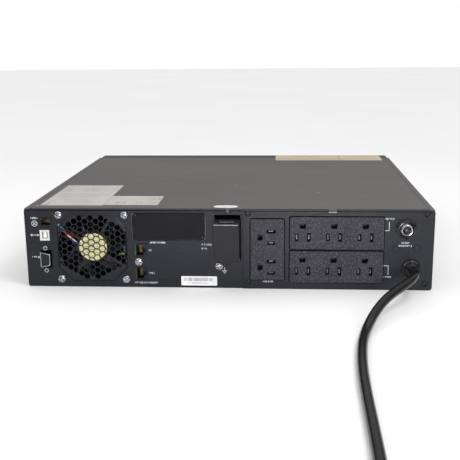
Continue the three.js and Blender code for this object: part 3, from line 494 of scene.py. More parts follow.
# Runs a tree on a template, keeps the result as one plain mesh and drops the template; points in metres
def repeated(name, tree, template, finish, settings, points=(), origin=(0, 0, 0), body="case", slot=None,
             stands=()):
    mesh = bpy.data.meshes.new(name)
    mesh.from_pydata([tuple(p) for p in points] or [(0, 0, 0)], [], [])
    piece = bpy.data.objects.new(name, mesh)
    scene.collection.objects.link(piece)
    if template.name not in scene.collection.objects:
        scene.collection.objects.link(template)
    modifier = piece.modifiers.new("repeat", "NODES")
    modifier.node_group = tree
    identifiers = {item.name: item.identifier for item in tree.interface.items_tree if item.in_out == "INPUT"}
    for label, value in {"Piece": template, "Finish": finish, **settings}.items():
        modifier[identifiers[label]] = value
    bpy.context.view_layer.update()
    evaluated = piece.evaluated_get(bpy.context.evaluated_depsgraph_get())
    made = bpy.data.meshes.new_from_object(evaluated)
    made.name = name
    made.transform(Matrix.Translation(origin))
    piece.modifiers.clear()
    piece.data = made
    bpy.data.meshes.remove(mesh)
    bpy.data.objects.remove(template)
    return place(piece, finish, body, slot, stands)


cord = {
    "diameter": 9.2,
    "length": 3.01,  # metres, gland to plug
    "lying": 4.7,
    "coilCentre": (54.2, -471),
    "coilRadius": 55,
    "coilMoves": (335, 695, 1005, 1365, 1675, 1985, 2295),  # degrees where the winding changes its place
    "coilEnd": 2610,
    "moveArc": 50,
    "clearRun": 35.8,
    "tail": 44,
    "plugHeight": 13.1,
}
cordRoute = [
    (196, -12.3, 24.7), (196.1, -16.4, 24.8), (196.5, -22, 25.4), (195, -31.8, 26), (191.3, -41, 25.7),
    (185.9, -49.3, 24.4), (179.6, -56.8, 22.7), (173.1, -64.2, 21), (166.8, -71.8, 19.3), (161, -79.8, 17.5),
    (155.6, -88, 15.4), (150.8, -96.4, 13.1), (146.4, -105, 10.7), (142.5, -114, 8.4), (139.1, -123.2, 6.5),
    (136.2, -132.6, 5.3), (133.8, -142.3, 4.7), (130, -162, 4.7), (126.6, -190, 4.7), (124, -225, 4.7),
    (122.6, -265, 4.7), (121.8, -310, 4.7), (121, -355, 4.7), (119.6, -400, 4.7),
]


# Centripetal curve through the points, sampled about every step millimetres
def smoothLine(points, step):
    points = [Vector(p) for p in points]
    points = [points[0] * 2 - points[1], *points, points[-1] * 2 - points[-2]]
    line = []
    for a, b, c, d in zip(points, points[1:], points[2:], points[3:]):
        t1 = (b - a).length ** 0.5
        t2 = t1 + (c - b).length ** 0.5
        t3 = t2 + (d - c).length ** 0.5
        count = max(1, round((c - b).length / step))
        for k in range(count):
            t = t1 + (t2 - t1) * k / count
            ab = a * ((t1 - t) / t1) + b * (t / t1)
            bc = b * ((t2 - t) / (t2 - t1)) + c * ((t - t1) / (t2 - t1))
            cd = c * ((t3 - t) / (t3 - t2)) + d * ((t - t2) / (t3 - t2))
            abc = ab * ((t2 - t) / t2) + bc * (t / t2)
            bcd = bc * ((t3 - t) / (t3 - t1)) + cd * ((t - t1) / (t3 - t1))
            line.append(abc * ((t2 - t) / (t2 - t1)) + bcd * ((t - t1) / (t2 - t1)))
    return line + [points[-2]]


# Eight stations of the winding as (column, layer), wound clockwise from above
def coilLine(step=6):
    stations = ((1, 0), (0, 0), (-1, 0), (-1, 1), (-1, 2), (0, 2), (0, 1), (1, 1))
    cx, cy = cord["coilCentre"]
    half = cord["moveArc"] / 2
    line = []
    for degrees in range(0, cord["coilEnd"] + 1, step):
        column, layer = stations[0]
        for at, (first, second) in zip(cord["coilMoves"], zip(stations, stations[1:])):
            share = min(max((degrees - at + half) / (2 * half), 0.0), 1.0)
            share = share * share * (3 - 2 * share)
            column += share * (second[0] - first[0])
            layer += share * (second[1] - first[1])
        radius = cord["coilRadius"] + column * cord["diameter"]
        angle = -math.radians(degrees)
        line.append(Vector((cx + radius * math.cos(angle), cy + radius * math.sin(angle),
                            cord["lying"] + layer * cord["diameter"])))
    return line


# A round curve of that radius along points in rear-panel millimetres
def roundCurve(name, line, radius, resolution):
    data = bpy.data.curves.new(name, "CURVE")
    data.dimensions = "3D"
    data.bevel_depth = radius * mm
    data.bevel_resolution = resolution
    data.use_fill_caps = True
    spline = data.splines.new("POLY")
    spline.points.add(len(line) - 1)
    for point, (x, y, z) in zip(spline.points, line):
        point.co = (x * mm, rearY + y * mm, z * mm, 1)
    spline.use_smooth = True
    return bpy.data.objects.new(name, data)


def makeCord():
    cx, cy = cord["coilCentre"]
    outer = cord["coilRadius"] + cord["diameter"]
    tailX, tailY, tail = cx - cord["clearRun"], cy - outer, cord["tail"]
    upper, plugZ = cord["lying"] + cord["diameter"], cord["plugHeight"]
    approach = smoothLine([*cordRoute, (cx + outer, cy + cord["clearRun"], cord["lying"])], 5)
    run = ((0, upper), (tail / 4, upper), (3 * tail / 4, plugZ), (tail, plugZ), (tail + 4, plugZ))
    end = smoothLine([(tailX - along, tailY, z) for along, z in run], 5)
    piece = roundCurve("mainsCord", [*approach, *coilLine(), *end], cord["diameter"] / 2, 5)
    return place(piece, finishes["cord_jacket"], "case", "cord_jacket",
                 ["power_cord", "cord_coil", "cord_tail"])


print("cord")
mainsCord = makeCord()


tie = {"half": 14.2, "thick": 1.0, "width": 14, "top": 28.3, "under": (0.05, 0.65), "corners": (4.6, 4)}


def makeTie():
    cx, cy = cord["coilCentre"]
    middle = cx - cord["coilRadius"]
    outlines = [roundedOutline((middle - tie["half"] - grown, middle + tie["half"] + grown),
                               (under, tie["top"] + grown), corner)
                for grown, under, corner in zip((tie["thick"], 0), tie["under"], tie["corners"])]
    work = bmesh.new()
    addFrame(work, *outlines, cy - tie["width"] / 2, cy + tie["width"] / 2)
    return place(pieceFrom(work, "coilTie", 50), hookTape)


coilTie = makeTie()


plug = {
    "relief": 30,
    "body": 34,
    "high": 26,
    "ribs": 5,
    "ribPitch": 4.6,
    "blade": {"long": 17, "apart": 6.35, "half": 0.75, "z": (-8.2, -1.8), "tip": 1.2},
    "pin": {"up": 6.9, "profile": ((1, 2.38), (-18, 2.38), (-19.4, 1.9), (-20, 1.0))},
    "nose": ((0, 5.3, 5.3, 1.0), (-1.2, 5.9, 5.9, 1.0)),  # x, half width, half height, squareness
    "grip": ((-27.5, 8.4, 8.4, 1.0), (-30, 9.8, 9.8, 0.8), (-33, 12.0, 11.6, 0.5), (-38, 12.9, 12.6, 0.4),
             (-58, 12.9, 12.7, 0.36), (-63, 12.8, 12.9, 0.34), (-63.8, 12.3, 12.4, 0.34),
             (-64, 11.7, 11.8, 0.34)),
}


# Straight three-pin plug: ribbed relief and grip moulded in one, with bright pins
def makePlug():
    low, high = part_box("cord_plug")
    start, y0, z0 = high[0] / mm, (low[1] + high[1]) / 2 / mm - rearY / mm, plug["high"] / 2 + 0.1

    def ring(work, x, wide, tall, power, count):
        return [work.verts.new((x * mm, rearY + (y0 + y) * mm, (z0 + z) * mm))
                for y, z in squareOutline((wide, tall), power, count)]

    sections = [*plug["nose"]]
    for rib in range(plug["ribs"]):
        at, grown = -4 - plug["ribPitch"] * rib, 5.9 + 0.5 * rib
        sections += [(at - back, grown + out, grown + out, 1.0)
                     for back, out in ((0, 0), (0.6, -1.1), (2.4, -1.0), (3.0, 0.4))]
    work = bmesh.new()
    addLoft(work, [ring(work, start + x, wide, tall, power, 40)
                   for x, wide, tall, power in (*sections, *plug["grip"])])
    body = place(pieceFrom(work, "plugGrip", 50), finishes["cord_jacket"], "case", "cord_jacket", ["cord_plug"])
    front = start - plug["relief"] - plug["body"]
    blade, pin = plug["blade"], plug["pin"]
    far, tip, (z1, z2) = front - blade["long"], blade["tip"], blade["z"]
    work = bmesh.new()
    for y in (y0 - blade["apart"], y0 + blade["apart"]):
        addBox(work, (far + tip, front + 1), (y - blade["half"], y + blade["half"]), (z0 + z1, z0 + z2))
        addBox(work, (far, far + tip), (y - 0.4, y + 0.4), (z0 + z1 + 0.6, z0 + z2 - 0.6))
    z0 += pin["up"]
    addLoft(work, [ring(work, front + x, radius, radius, 1.0, 20) for x, radius in pin["profile"]])
    pins = place(pieceFrom(work, "plugPins", 30), finishes["chrome"], "case", "chrome")
    return body, pins


plugGrip, plugPins = makePlug()


slotPlate = makeFinish("slot cover paint", (15, 15, 18), (19, 20, 23), 0.6, 0.05, patches=20,
        grain=(1500, 0.05), specks=(1700, (33, 34, 39), 0.35), specular=0.16)
coverPlastic = makeFinish("fine-grained cover", (24, 23, 26), (30, 29, 32), 0.42, 0.08, patches=40,
        grain=(1500, 0.06), specks=(1400, (50, 48, 53), 0.4), specular=0.4)
pairs = {  # piece: node, edge radius in mm, slot
    "rearPanel": ("rear_panel", 0.2, "black_paint"),
    "outletPanel": ("receptacle_panel", 0.25, "black_paint"),
    "topCover": ("top_cover", 0.25, "case_paint"),
    "chassis": ("chassis_base", 0.25, "case_paint"),
    "outletBlock1": ("outlet_block_1", 0.4, "outlet_plastic"),
    "outletBlock2": ("outlet_block_2", 0.4, "outlet_plastic"),
    "outletBlock3": ("outlet_block_3", 0.4, "outlet_plastic"),
    "fanFrame": ("fan_frame", 0.3, "fan_plastic"),
    "remoteJack": ("remote_port", 0.2, "jack_plastic"),
    "surgeJackIn": ("surge_jack_in", 0.2, "jack_plastic"),
    "surgeJackOut": ("surge_jack_out", 0.2, "jack_plastic"),
    "serialShell": ("serial_shell", 0.15, "chrome"),
    "connectorHousing": ("battery_connector", 0.3, "outlet_plastic"),
    "frontBezel": ("front_bezel", 0.25, "bezel_plastic"),
    "displayWindow": ("display_window", 0.2, "window_plastic"),
}
for name, (node, edge, slot) in pairs.items():
    softened(name, node, edge, finishes[slot], slot)
softened("slotCover", "accessory_cover", 0.2, slotPlate, "black_paint")
softened("connectorCover", "connector_cover", 0.5, coverPlastic, "outlet_plastic", "connector_cover", 3)
softened("drawerFront", "tray_front", 0.25, finishes["bezel_plastic"], "bezel_plastic", "battery_drawer")
print("metalwork")


outlets = {
    "blocks": (((117.1, 62.4), 0, 3, -2.8, 4.6), ((117.1, 25.2), 0, 3, -2.8, 4.6), ((43.8, 44), 1, 2, -3, 4.2)),
    "pitch": 33,
    "slots": 12.7,  # between the two blades
    "shadowLine": 0.9,  # width of the shadow line round a block
    "earth": 11.9,  # from the blades' line
    "leaf": {"wide": 0.42, "apart": 0.72, "front": 1.2, "back": 9,
             "parts": ((-2.5, -0.8), (-0.5, 0.7), (1.0, 2.0))},
    "flange": ((49.5, 17.5), (18, 33.5)),  # half sizes, upright and lying
    "corner": 1.5,
    "lipShade": 216,  # half length of the shadow under the top cover's lip
    "tongue": {"low": 3.05, "thick": 0.3, "half": 0.7, "front": -0.6, "back": 0.8},
}


# Blade slots and earth holes of every outlet, upright and lying, as points in metres
def outletPlaces():
    found = {"blade0": [], "blade1": [], "earth0": [], "earth1": []}
    for (cx, cz), turned, count, shift, drop in outlets["blocks"]:
        for i in range(count):
            at = shift + (i - (count - 1) / 2) * outlets["pitch"]
            half = outlets["slots"] / 2
            for key, across, up in (("blade", -half, -drop), ("blade", half, -drop),
                                    ("earth", 0, outlets["earth"] - drop)):
                x, z = (cx - up, cz + at + across) if turned else (cx + at + across, cz + up)
                found[key + str(turned)].append((x * mm, rearY, z * mm))
    return found


# A pair of sprung leaves in three fingers each, upright or lying
def leafTemplate(turned):
    size = outlets["leaf"]
    work = bmesh.new()
    for side in (-1, 1):
        middle = side * size["apart"] / 2
        wide = (middle - size["wide"] / 2, middle + size["wide"] / 2)
        for along in size["parts"]:
            x, z = (along, wide) if turned else (wide, along)
            addBox(work, x, (size["front"], size["back"]), z)
    return templateFrom(work, "leaf")


# The earth contact's tongue, at the round end of its hole
def tongueTemplate(turned):
    size = outlets["tongue"]
    up = (-size["low"] - size["thick"] / 2, -size["low"] + size["thick"] / 2)
    across = (-size["half"], size["half"])
    x, z = ((-up[1], -up[0]), across) if turned else (across, up)
    return boxTemplate(x, (size["front"], size["back"]), z)


def boxTemplate(x, y, z):
    work = bmesh.new()
    addBox(work, x, y, z)
    return templateFrom(work, "block")


# Painted shadow: dark lines where the outlet blocks' flanges meet the panel, and dark strips under the top
# cover's lip
def makeSeams():
    work = bmesh.new()
    for (cx, cz), turned, *_ in outlets["blocks"]:
        across, up = outlets["flange"][turned]
        outer, inner = (roundedOutline((cx - across - grown, cx + across + grown),
                                       (cz - up - grown, cz + up + grown), outlets["corner"] + grown, 4)
                        for grown in (outlets["shadowLine"], 0))
        addFrame(work, outer, inner, -0.06, 0.02)
    edge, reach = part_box("receptacle_panel")[0][0] / mm, outlets["lipShade"]
    # painted shadow strips under the top cover's lip, on the rear panel and on the outlet panel
    addBox(work, (-reach, edge), (1.44, 1.52), (85.3, 86.1))  # under the top cover's lip
    addBox(work, (edge, reach), (-0.06, 0.02), (85.5, 86.1))
    return place(pieceFrom(work, "outletSeams", 30), seamShade)


# Bright faces at the top cover's rear tabs: bare metal at the small tab, and a painted highlight on the notch
# edge at the wide one
def makeTabFaces():
    work = bmesh.new()
    for x, half, low in ((1.6, 1.5, 84.8), (112.6, 4.3, 84.5)):
        addPlate(work, roundedOutline((x - half, x + half), (low, 85.5), 0.3, 2), -0.1, 0.02)
    return place(pieceFrom(work, "tabFaces", 30), bareMetalAndHighlight)


# Painted highlight: a lighter strip along the top of the connector cover, where its top edge catches the light
def makeCoverLip():
    work = bmesh.new()
    for y, z, half in ((-20.75, 75.35, 12.9), (-8.0, 75.7, 8.0)):
        outline = roundedOutline((1.15 - half, 1.15 + half), (z - 0.35, z + 0.3), 0.28, 3)
        addPlate(work, outline, y - 0.4, y + 0.4)
    return place(pieceFrom(work, "coverLip", 40), bareMetalAndHighlight, "connector_cover")


makeSeams()
makeTabFaces()
makeCoverLip()
for key, points in outletPlaces().items():
    turned, earth = int(key[-1]), key.startswith("earth")
    template = tongueTemplate(turned) if earth else leafTemplate(turned)
    repeated("contacts" + key.capitalize(), scatterTree, template, contactMetal, {"Size": 1.0}, points)
print("outlet contacts")


screws = {
    "fanScrews": {"head": 4.4, "high": 2.4, "length": 8, "finish": "chrome", "spin": 3.0, "seed": 4,
                  "nodes": ["fan_screw_1", "fan_screw_2", "fan_screw_3", "fan_screw_4"]},
    "portScrews": {"head": 4.6, "high": 2.4, "length": 7, "finish": "chrome", "spin": 3.0, "seed": 9,
                   "nodes": ["port_screw", "ground_screw"]},
    "outletPanelScrews": {"head": 3.1, "high": 2.0, "length": 6, "finish": "black_screw", "spin": 3.0,
                          "seed": 2, "nodes": ["receptacle_screw_1", "receptacle_screw_2", "receptacle_screw_3",
                                    "receptacle_screw_4"]},
    "slotCoverScrews": {"head": 2.7, "high": 1.9, "length": 6, "finish": "black_screw", "spin": 3.0, "seed": 6,
                        "nodes": ["accessory_screw_1", "accessory_screw_2"]},
}


# The solid with the cutter taken out, as a plain template object
def meshWithCut(solid, cutter):
    for piece in (solid, cutter):
        scene.collection.objects.link(piece)
    modifier = solid.modifiers.new("recess", "BOOLEAN")
    modifier.operation = "DIFFERENCE"
    modifier.object = cutter
    modifier.solver = "EXACT"
    bpy.context.view_layer.update()
    made = bpy.data.meshes.new_from_object(solid.evaluated_get(bpy.context.evaluated_depsgraph_get()))
    solid.modifiers.clear()
    solid.data = made
    bpy.data.objects.remove(cutter)
    return solid


# Domed head with a cross recess, its seat at y = 0 and its shank inwards
def screwTemplate(size):
    r, h = size["head"], size["high"]
    work = bmesh.new()
    addTurned(work, [(0, -h), (r * 0.42, -h * 0.97), (r * 0.74, -h * 0.82), (r * 0.93, -h * 0.55),
                     (r, -h * 0.25), (r, 0), (1.45, 0), (1.45, size["length"]), (0, size["length"])], (0, 0), 28)
    head = templateFrom(work, "screwHead", 50)
    work = bmesh.new()
    arm, wide = r * 0.72, r * 0.18
    cross = [(arm, -wide), (arm, wide), (wide, wide), (wide, arm), (-wide, arm), (-wide, wide), (-arm, wide),
             (-arm, -wide), (-wide, -wide), (-wide, -arm), (wide, -arm), (wide, -wide)]
    addPlate(work, cross, -h - 1, -h * 0.1)
    return meshWithCut(head, templateFrom(work, "recess", 20))


# Where a screw's head sits: the middle of its node's box, at the back of the head
def seatOf(node, size):
    low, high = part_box(node)
    return ((low[0] + high[0]) / 2, high[1] - size["length"] * mm, (low[2] + high[2]) / 2)


for name, size in screws.items():
    template = screwTemplate(size)
    repeated(name, scatterTree, template, finishes[size["finish"]],
             {"Spin": size["spin"], "Seed": size["seed"]}, [seatOf(node, size) for node in size["nodes"]],
             slot=size["finish"], stands=size["nodes"])


# Hexagonal jack post with a threaded bore
def jackTemplate():
    work = bmesh.new()
    addTurned(work, [(2.5, -2.6), (2.85, -2.2), (2.85, 0), (1.4, 0), (1.4, 5), (1.1, 5), (1.1, -1.6),
                     (1.45, -2.0), (1.6, -2.6)], (0, 0), 6)
    return templateFrom(work, "jackPost", 20)


template = jackTemplate()
jackSeats = [seatOf(node, {"length": 5}) for node in ("serial_screw_1", "serial_screw_2")]
repeated("jackPosts", scatterTree, template, finishes["chrome"], {"Spin": 0.6, "Seed": 5}, jackSeats,
         slot="chrome", stands=["serial_screw_1", "serial_screw_2"])
print("screws")


fan = {
    "centre": (-145.5, 44.7),
    "start": 3.0,  # the frame's face behind the outlet panel's face
    "hub": 17.5,
    "tip": 37.2,
    "blades": 7,
    "chord": 19,
    "thick": 1.2,
    "label": 15.3,
}


# One cambered, twisted and swept blade along +x, the axis being y
def bladeTemplate():
    work = bmesh.new()
    spans, chords = 9, 8
    faces = []
    for side in (1, -1):
        rows = []
        for i in range(spans + 1):
            share = i / spans
            out = fan["hub"] - 1.5 + share * (fan["tip"] - fan["hub"] + 1.5)
            lean = 0.95 - 0.3 * share
            sweep = 0.35 * share
            row = []
            for j in range(chords + 1):
                along = (j / chords - 0.5) * fan["chord"]
                edge = 1 - (2 * j / chords - 1) ** 2
                off = 1.1 * edge + side * fan["thick"] / 2 * math.sqrt(max(edge, 0.0))
                a = off * math.cos(lean) - along * math.sin(lean)
                b = off * math.sin(lean) + along * math.cos(lean)
                x, a = out * math.cos(sweep) - a * math.sin(sweep), out * math.sin(sweep) + a * math.cos(sweep)
                row.append((x, a, b))
            rows.append(row)
        faces.append(rows)
    upper, lower = ([[work.verts.new((x * mm, -b * mm, a * mm)) for x, a, b in row] for row in rows]
                    for rows in faces)
    for i in range(spans):
        for j in range(chords):
            work.faces.new((upper[i][j], upper[i + 1][j], upper[i + 1][j + 1], upper[i][j + 1]))
            work.faces.new((lower[i][j], lower[i][j + 1], lower[i + 1][j + 1], lower[i + 1][j]))
    for row in (0, spans):
        for j in range(chords):
            work.faces.new((upper[row][j], upper[row][j + 1], lower[row][j + 1], lower[row][j]))
    return pieceFrom(work, "blade", 60)


def makeFan():
    (cx, cz), start, r = fan["centre"], fan["start"], fan["hub"]
    blade = bladeTemplate()
    middle = (cx * mm, rearY + (start + 13.6) * mm, cz * mm)
    repeated("fanBlades", ringTree, blade, finishes["fan_plastic"],
             {"Count": fan["blades"], "Radius": 0.0, "Start": 0.1}, origin=middle, body="fan_rotor",
             slot="fan_plastic", stands=["fan_rotor"])
    work = bmesh.new()
    profile = [(3.4, 4.8), (r - 0.3, 4.8), (r, 5.1), (r, 20.6), (r - 0.5, 21.9), (r - 1.8, 22.9), (r - 4, 23),
               (3.4, 23)]
    addTurned(work, [(out, start + y) for out, y in profile], (cx, cz), 56)
    place(pieceFrom(work, "fanHub", 35), finishes["fan_plastic"], "fan_rotor", "fan_plastic")
    work = bmesh.new()
    seat, label = start + 0.4, fan["label"]
    addTurned(work, [(0, seat - 0.14), (label - 0.1, seat - 0.14), (label, seat), (0, seat)], (cx, cz), 56)
    place(pieceFrom(work, "hubLabel", 30), creamPaper)
    work = bmesh.new()
    chance = random.Random(11)
    for row in range(5):
        z = cz + 6.5 - 3.2 * row
        half = math.sqrt(max((label - 3) ** 2 - (z - cz) ** 2, 4)) * 0.8
        dashes(work, (cx - half, cx + half), (z - 0.5, z + 0.5), (seat - 0.2, seat - 0.1), chance)
    place(pieceFrom(work, "hubLabelPrint", 30), darkInk)


# Small blocks in a row the height of a print line, standing for words without being letters
def dashes(work, x, z, y, chance, axis="y"):
    at, high = x[0], z[1] - z[0]
    while at < x[1] - 0.2 * high:
        wide = min(high * chance.choice((0.22, 0.3, 0.42)), x[1] - at)
        lift = high * chance.choice((0, 0.1, 0.35))
        if axis == "y":
            addBox(work, (at, at + wide), y, (z[0] + lift, z[1]))
        else:
            addBox(work, (at, at + wide), (z[0], z[1] - lift), y)
        at += wide + high * chance.choice((0.2, 0.2, 0.26, 0.55))


# A round wire along points in rear-panel millimetres
def tubeAlong(name, line, radius, finish):
    source = roundCurve(name + "Line", line, radius, 2)
    scene.collection.objects.link(source)
    bpy.context.view_layer.update()
    mesh = bpy.data.meshes.new_from_object(source.evaluated_get(bpy.context.evaluated_depsgraph_get()))
    bpy.data.objects.remove(source)
    return place(bpy.data.objects.new(name, mesh), finish)


wires = {
    "ends": ((-160.2, 1.75, 46.2), (-182.2, 1.75, 69.8)),  # hub, corner
    "turns": 1.3,
    "steps": 60,
    "twist": 0.8,  # from the bundle's middle
    "radius": 0.66,
    "clip": ((-180.2, -176.4), (61.4, 65.2)),
    "earth": {"place": (-113.8, 2.0, 37.4), "arc": (2.3, -0.8, 0.6), "radius": 1.0},
}


# Four twisted wires from the hub to the frame's corner, and the clip that holds them there
def makeFanWires():
    ends = [Vector(end) for end in wires["ends"]]
    inward = Vector((0, 1, 0))
    side = (ends[1] - ends[0]).normalized().cross(inward)
    for k, colour in enumerate(("red", "white", "blue", "black")):
        line = []
        for i in range(wires["steps"] + 1):
            share = i / wires["steps"]
            turn = 2 * math.pi * (share * wires["turns"] + k / 4)
            off = side * math.cos(turn) + inward * math.sin(turn)
            line.append(ends[0].lerp(ends[1], share) + off * wires["twist"])
        tubeAlong("fanWire" + colour.capitalize(), line, wires["radius"], wireColours[colour])
    work = bmesh.new()
    addPlate(work, roundedOutline(*wires["clip"], 1.2, 3), 2.35, 2.95)
    place(pieceFrom(work, "wireClip", 30), finishes["fan_plastic"])
    (x, y, z), (across, inwards, up) = wires["earth"]["place"], wires["earth"]["arc"]
    arc = [(x + across * math.cos(t), y + inwards * math.sin(t), z + up * math.sin(t))
           for t in (0.1 * math.pi * k for k in range(11))]
    tubeAlong("earthWire", arc, wires["earth"]["radius"], wireColours["earth"])


makeFan()
makeFanWires()
print("fan")


ports = {
    "usb": (-197.6, 57.8),  # x, z
    "serial": (-197.2, 31.3),
    "pinPitch": 2.76,
    "wirePitch": 1.02,
    "jacks": {"remoteWires": (-195.9, 72.2, 6), "surgeWiresIn": (-93.8, 42, 8),  # x, z, wires
              "surgeWiresOut": (-93.8, 16, 8)},
    "boards": ((36.2, 48.6), (10.4, 21)),
}


# Shell, liner and contacts of the data ports
def makePorts():
    milk = makeFinish("white insert", (222, 221, 216), (236, 235, 231), 0.4, 0.08, patches=300,
                      grain=(1200, 0.01))
    softened("usbShell", "usb_port", 0.2, tin, "zinc_steel")
    x, z = ports["usb"]
    work = bmesh.new()
    addBox(work, (x - 1.75, x + 1.75), (2.9, 13), (z - 3.1, z + 3.1))
    for a, b in (((-4.2, -3.3), (-4.6, 4.6)), ((3.3, 4.2), (-4.6, 4.6)), ((-3.3, 3.3), (-4.6, -3.8)),
                 ((-3.3, 3.3), (3.8, 4.6))):
        addBox(work, (x + a[0], x + a[1]), (1.6, 12.4), (z + b[0], z + b[1]))
    addBox(work, (x - 4.2, x + 4.2), (11.4, 12.2), (z - 4.6, z + 4.6))
    place(pieceFrom(work, "usbInsert", 30), milk)
    template = boxTemplate((-0.12, 0.12), (0, 7), (-0.55, 0.55))
    repeated("usbContacts", scatterTree, template, brass, {}, [
        ((x + side * 1.85) * mm, rearY + 3.6 * mm, (z + up) * mm) for side in (-1, 1) for up in (-1.5, 1.5)])
    x, z = ports["serial"]
    pins = [((x + a) * mm, panelY - 4.25 * mm, (z + (i - (count - 1) / 2) * ports["pinPitch"]) * mm)
            for a, count in ((-1.4, 5), (1.4, 4)) for i in range(count)]
    work = bmesh.new()
    addTurned(work, [(0.62, 0), (0.62, 4), (0.4, 4), (0.4, 0)], (0, 0), 10)
    template = templateFrom(work, "pinSocket")
    repeated("serialSockets", scatterTree, template, finishes["black_screw"], {}, pins)
    step = ports["wirePitch"]
    for name, (x, z, count) in ports["jacks"].items():  # sprung wires of the modular jacks
        upright = name != "remoteWires"
        reach = (count - 1) * step / 2
        wide, long = (-0.16, 0.16), (-1.6, 1.6)
        template = boxTemplate(long, (0, 0.4), wide) if upright else boxTemplate(wide, (0, 0.4), long)
        x, z = (x, z - reach) if upright else (x - reach, z)
        offset = (0, 0, step * mm) if upright else (step * mm, 0, 0)
        repeated(name, rowTree, template, brass, {"Count": count, "Step": offset},
                 origin=(x * mm, rearY + 7.5 * mm, z * mm))
    work = bmesh.new()
    for level in ports["boards"]:
        addBox(work, (-99.1, -98.5), (1.15, 1.6), level)
    place(pieceFrom(work, "jackBoardEdges", 30), finishes["circuit_board"])


makePorts()
print("ports")


breaker = {"centre": (189.3, 67.4), "bushing": 6.3, "reach": 8.5, "button": 3.5, "nut": 11, "ribs": 30,
           "threads": 4}


# Threaded bushing with its ring nut and push button, and the body behind the panel
def makeBreaker():
    centre, r, reach, b, n = (breaker[k] for k in ("centre", "bushing", "reach", "button", "nut"))
    cx, cz = centre
    profile = [(b + 0.3, 9), (b + 0.3, -reach + 0.9), (r - 2.0, -reach + 0.35), (r - 1.4, -reach + 0.05),
               (r - 0.9, -reach), (r - 0.4, -reach + 0.3), (r - 0.12, -reach + 0.8)]
    for k in range(breaker["threads"]):
        at = -reach + 1.1 + 0.8 * k
        profile += [(r, at), (r, at + 0.25), (r - 0.4, at + 0.5), (r - 0.4, at + 0.6)]
    profile += [(r - 0.1, -4), (r - 0.1, 4), (r - 0.6, 9)]
    work = bmesh.new()
    addTurned(work, profile, centre, 56)
    place(pieceFrom(work, "breakerBushing", 30), finishes["chrome"], "case", "chrome", ["breaker_body"])
    work = bmesh.new()
    addBox(work, (cx - 8, cx + 8), (1.5, 34), (cz - 11, cz + 11))
    shell = pieceFrom(work, "breakerShell", 30)
    bevel = shell.modifiers.new("softEdges", "BEVEL")
    bevel.width, bevel.segments = 0.8 * mm, 2
    place(shell, finishes["jack_plastic"], "case")
    work = bmesh.new()
    addTurned(work, [(r + 0.3, -0.3), (n - 0.2, -0.3), (n, -0.6), (n, -1.2), (n - 0.7, -1.6), (n - 0.7, -3.6),
                     (n - 1.0, -4.4), (n - 1.9, -5.0), (r + 1.5, -5.2), (r + 0.5, -4.7), (r + 0.3, -4.2)],
              centre, 60)
    gloss = finishes["gloss_black"]
    place(pieceFrom(work, "breakerNut", 28), gloss, "case", "gloss_black", ["breaker_nut"])
    rib = boxTemplate((-0.55, 0.45), (-4.2, -1.4), (-0.5, 0.5))
    repeated("nutRibs", ringTree, rib, gloss, {"Count": breaker["ribs"], "Radius": (n - 0.55) * mm},
             origin=(cx * mm, rearY, cz * mm), slot="gloss_black")
    work = bmesh.new()
    addTurned(work, [(0, 8), (b, 8), (b, -8.6), (b - 0.25, -9.2), (b - 0.8, -9.6), (b - 1.8, -9.85), (0, -9.9)],
              centre, 40)
    place(pieceFrom(work, "breakerButton", 35), gloss, "breaker_button", "gloss_black", ["breaker_button"])


gland = {"centre": (196, 24.7), "cord": 4.6, "flange": 9.9, "neck": 7.8, "reach": 12}


# Moulded strain relief: a domed collar, then a short taper with rings round the cord
def makeGland():
    c, f, n = gland["cord"], gland["flange"], gland["neck"]
    end = gland["reach"]
    profile = [(0, end), (f - 1.5, end), (f - 1.2, end - 0.4), (f - 0.7, 1.6), (n, 1.5), (n, -0.3),
               (f - 0.2, -0.3), (f, -0.6), (f, -1.3), (f - 0.35, -2.1), (f - 1.1, -2.9), (f - 2.2, -4.0), (c + 2.2, -5.4),
               (c + 2.1, -6.0), (c + 1.6, -6.3), (c + 1.6, -6.9), (c + 1.9, -7.3), (c + 1.8, -8.2),
               (c + 1.3, -8.5), (c + 1.3, -9.1), (c + 1.55, -9.5), (c + 1.45, -10.5), (c + 1.0, -10.8), (c + 1.0, -11.5),
               (c + 0.7, -end), (0, -end)]
    work = bmesh.new()
    addTurned(work, profile, gland["centre"], 64)
    place(pieceFrom(work, "cordGland", 50), finishes["gloss_black"], "case", "gloss_black", ["cord_gland"])


makeBreaker()
makeGland()
print("breaker and gland")


onPanel, onOutlets = (1.44, 1.5), (-0.06, 0.0)  # from and to, behind the outlet panel's face
words = [  # blocks of print on the rear: x, z, panel
    ((-211.8, -204.4), (76.0, 77.9), onPanel), ((-212.6, -203.8), (32.0, 34.3), onPanel),
    ((-82.3, -66.1), (49.4, 51.4), onPanel), ((-84.0, -81.2), (40.8, 42.9), onPanel),
    ((-84.2, -78.2), (15.0, 17.2), onPanel), ((-100.4, -75.1), (4.2, 6.2), onPanel),
    ((-26.7, -15.6), (47.4, 49.5), onPanel), ((-26.7, -21.4), (43.1, 45.1), onPanel),
    ((39.2, 50.0), (7.3, 9.3), onOutlets), ((166.6, 176.9), (77.0, 79.0), onOutlets),
    ((166.7, 176.7), (13.5, 15.6), onOutlets), ((185.2, 193.8), (51.2, 53.1), onOutlets),
    ((182.3, 196.3), (47.9, 49.9), onOutlets),
]
strokes = [  # data port's line, earth sign, and the brackets at the outlet groups
    ((-211.6, -205.2), (57.7, 58.3), onPanel), ((-2.6, -2.0), (19.6, 23.4), onPanel),
    ((-5.0, 0.4), (19.3, 19.9), onPanel), ((-4.1, -0.5), (18.0, 18.6), onPanel),
    ((-3.1, -1.5), (16.7, 17.3), onPanel),
    ((171.4, 172.0), (65.1, 74.9), onOutlets), ((166.4, 171.4), (65.1, 65.7), onOutlets),
    ((166.4, 172.4), (26.8, 27.4), onOutlets), ((171.9, 172.5), (17.3, 26.8), onOutlets),
]
remoteSign = {"centre": (-208.1, 70.8), "radius": 3.3, "wide": 0.6, "arm": 2.2, "thick": 0.7}
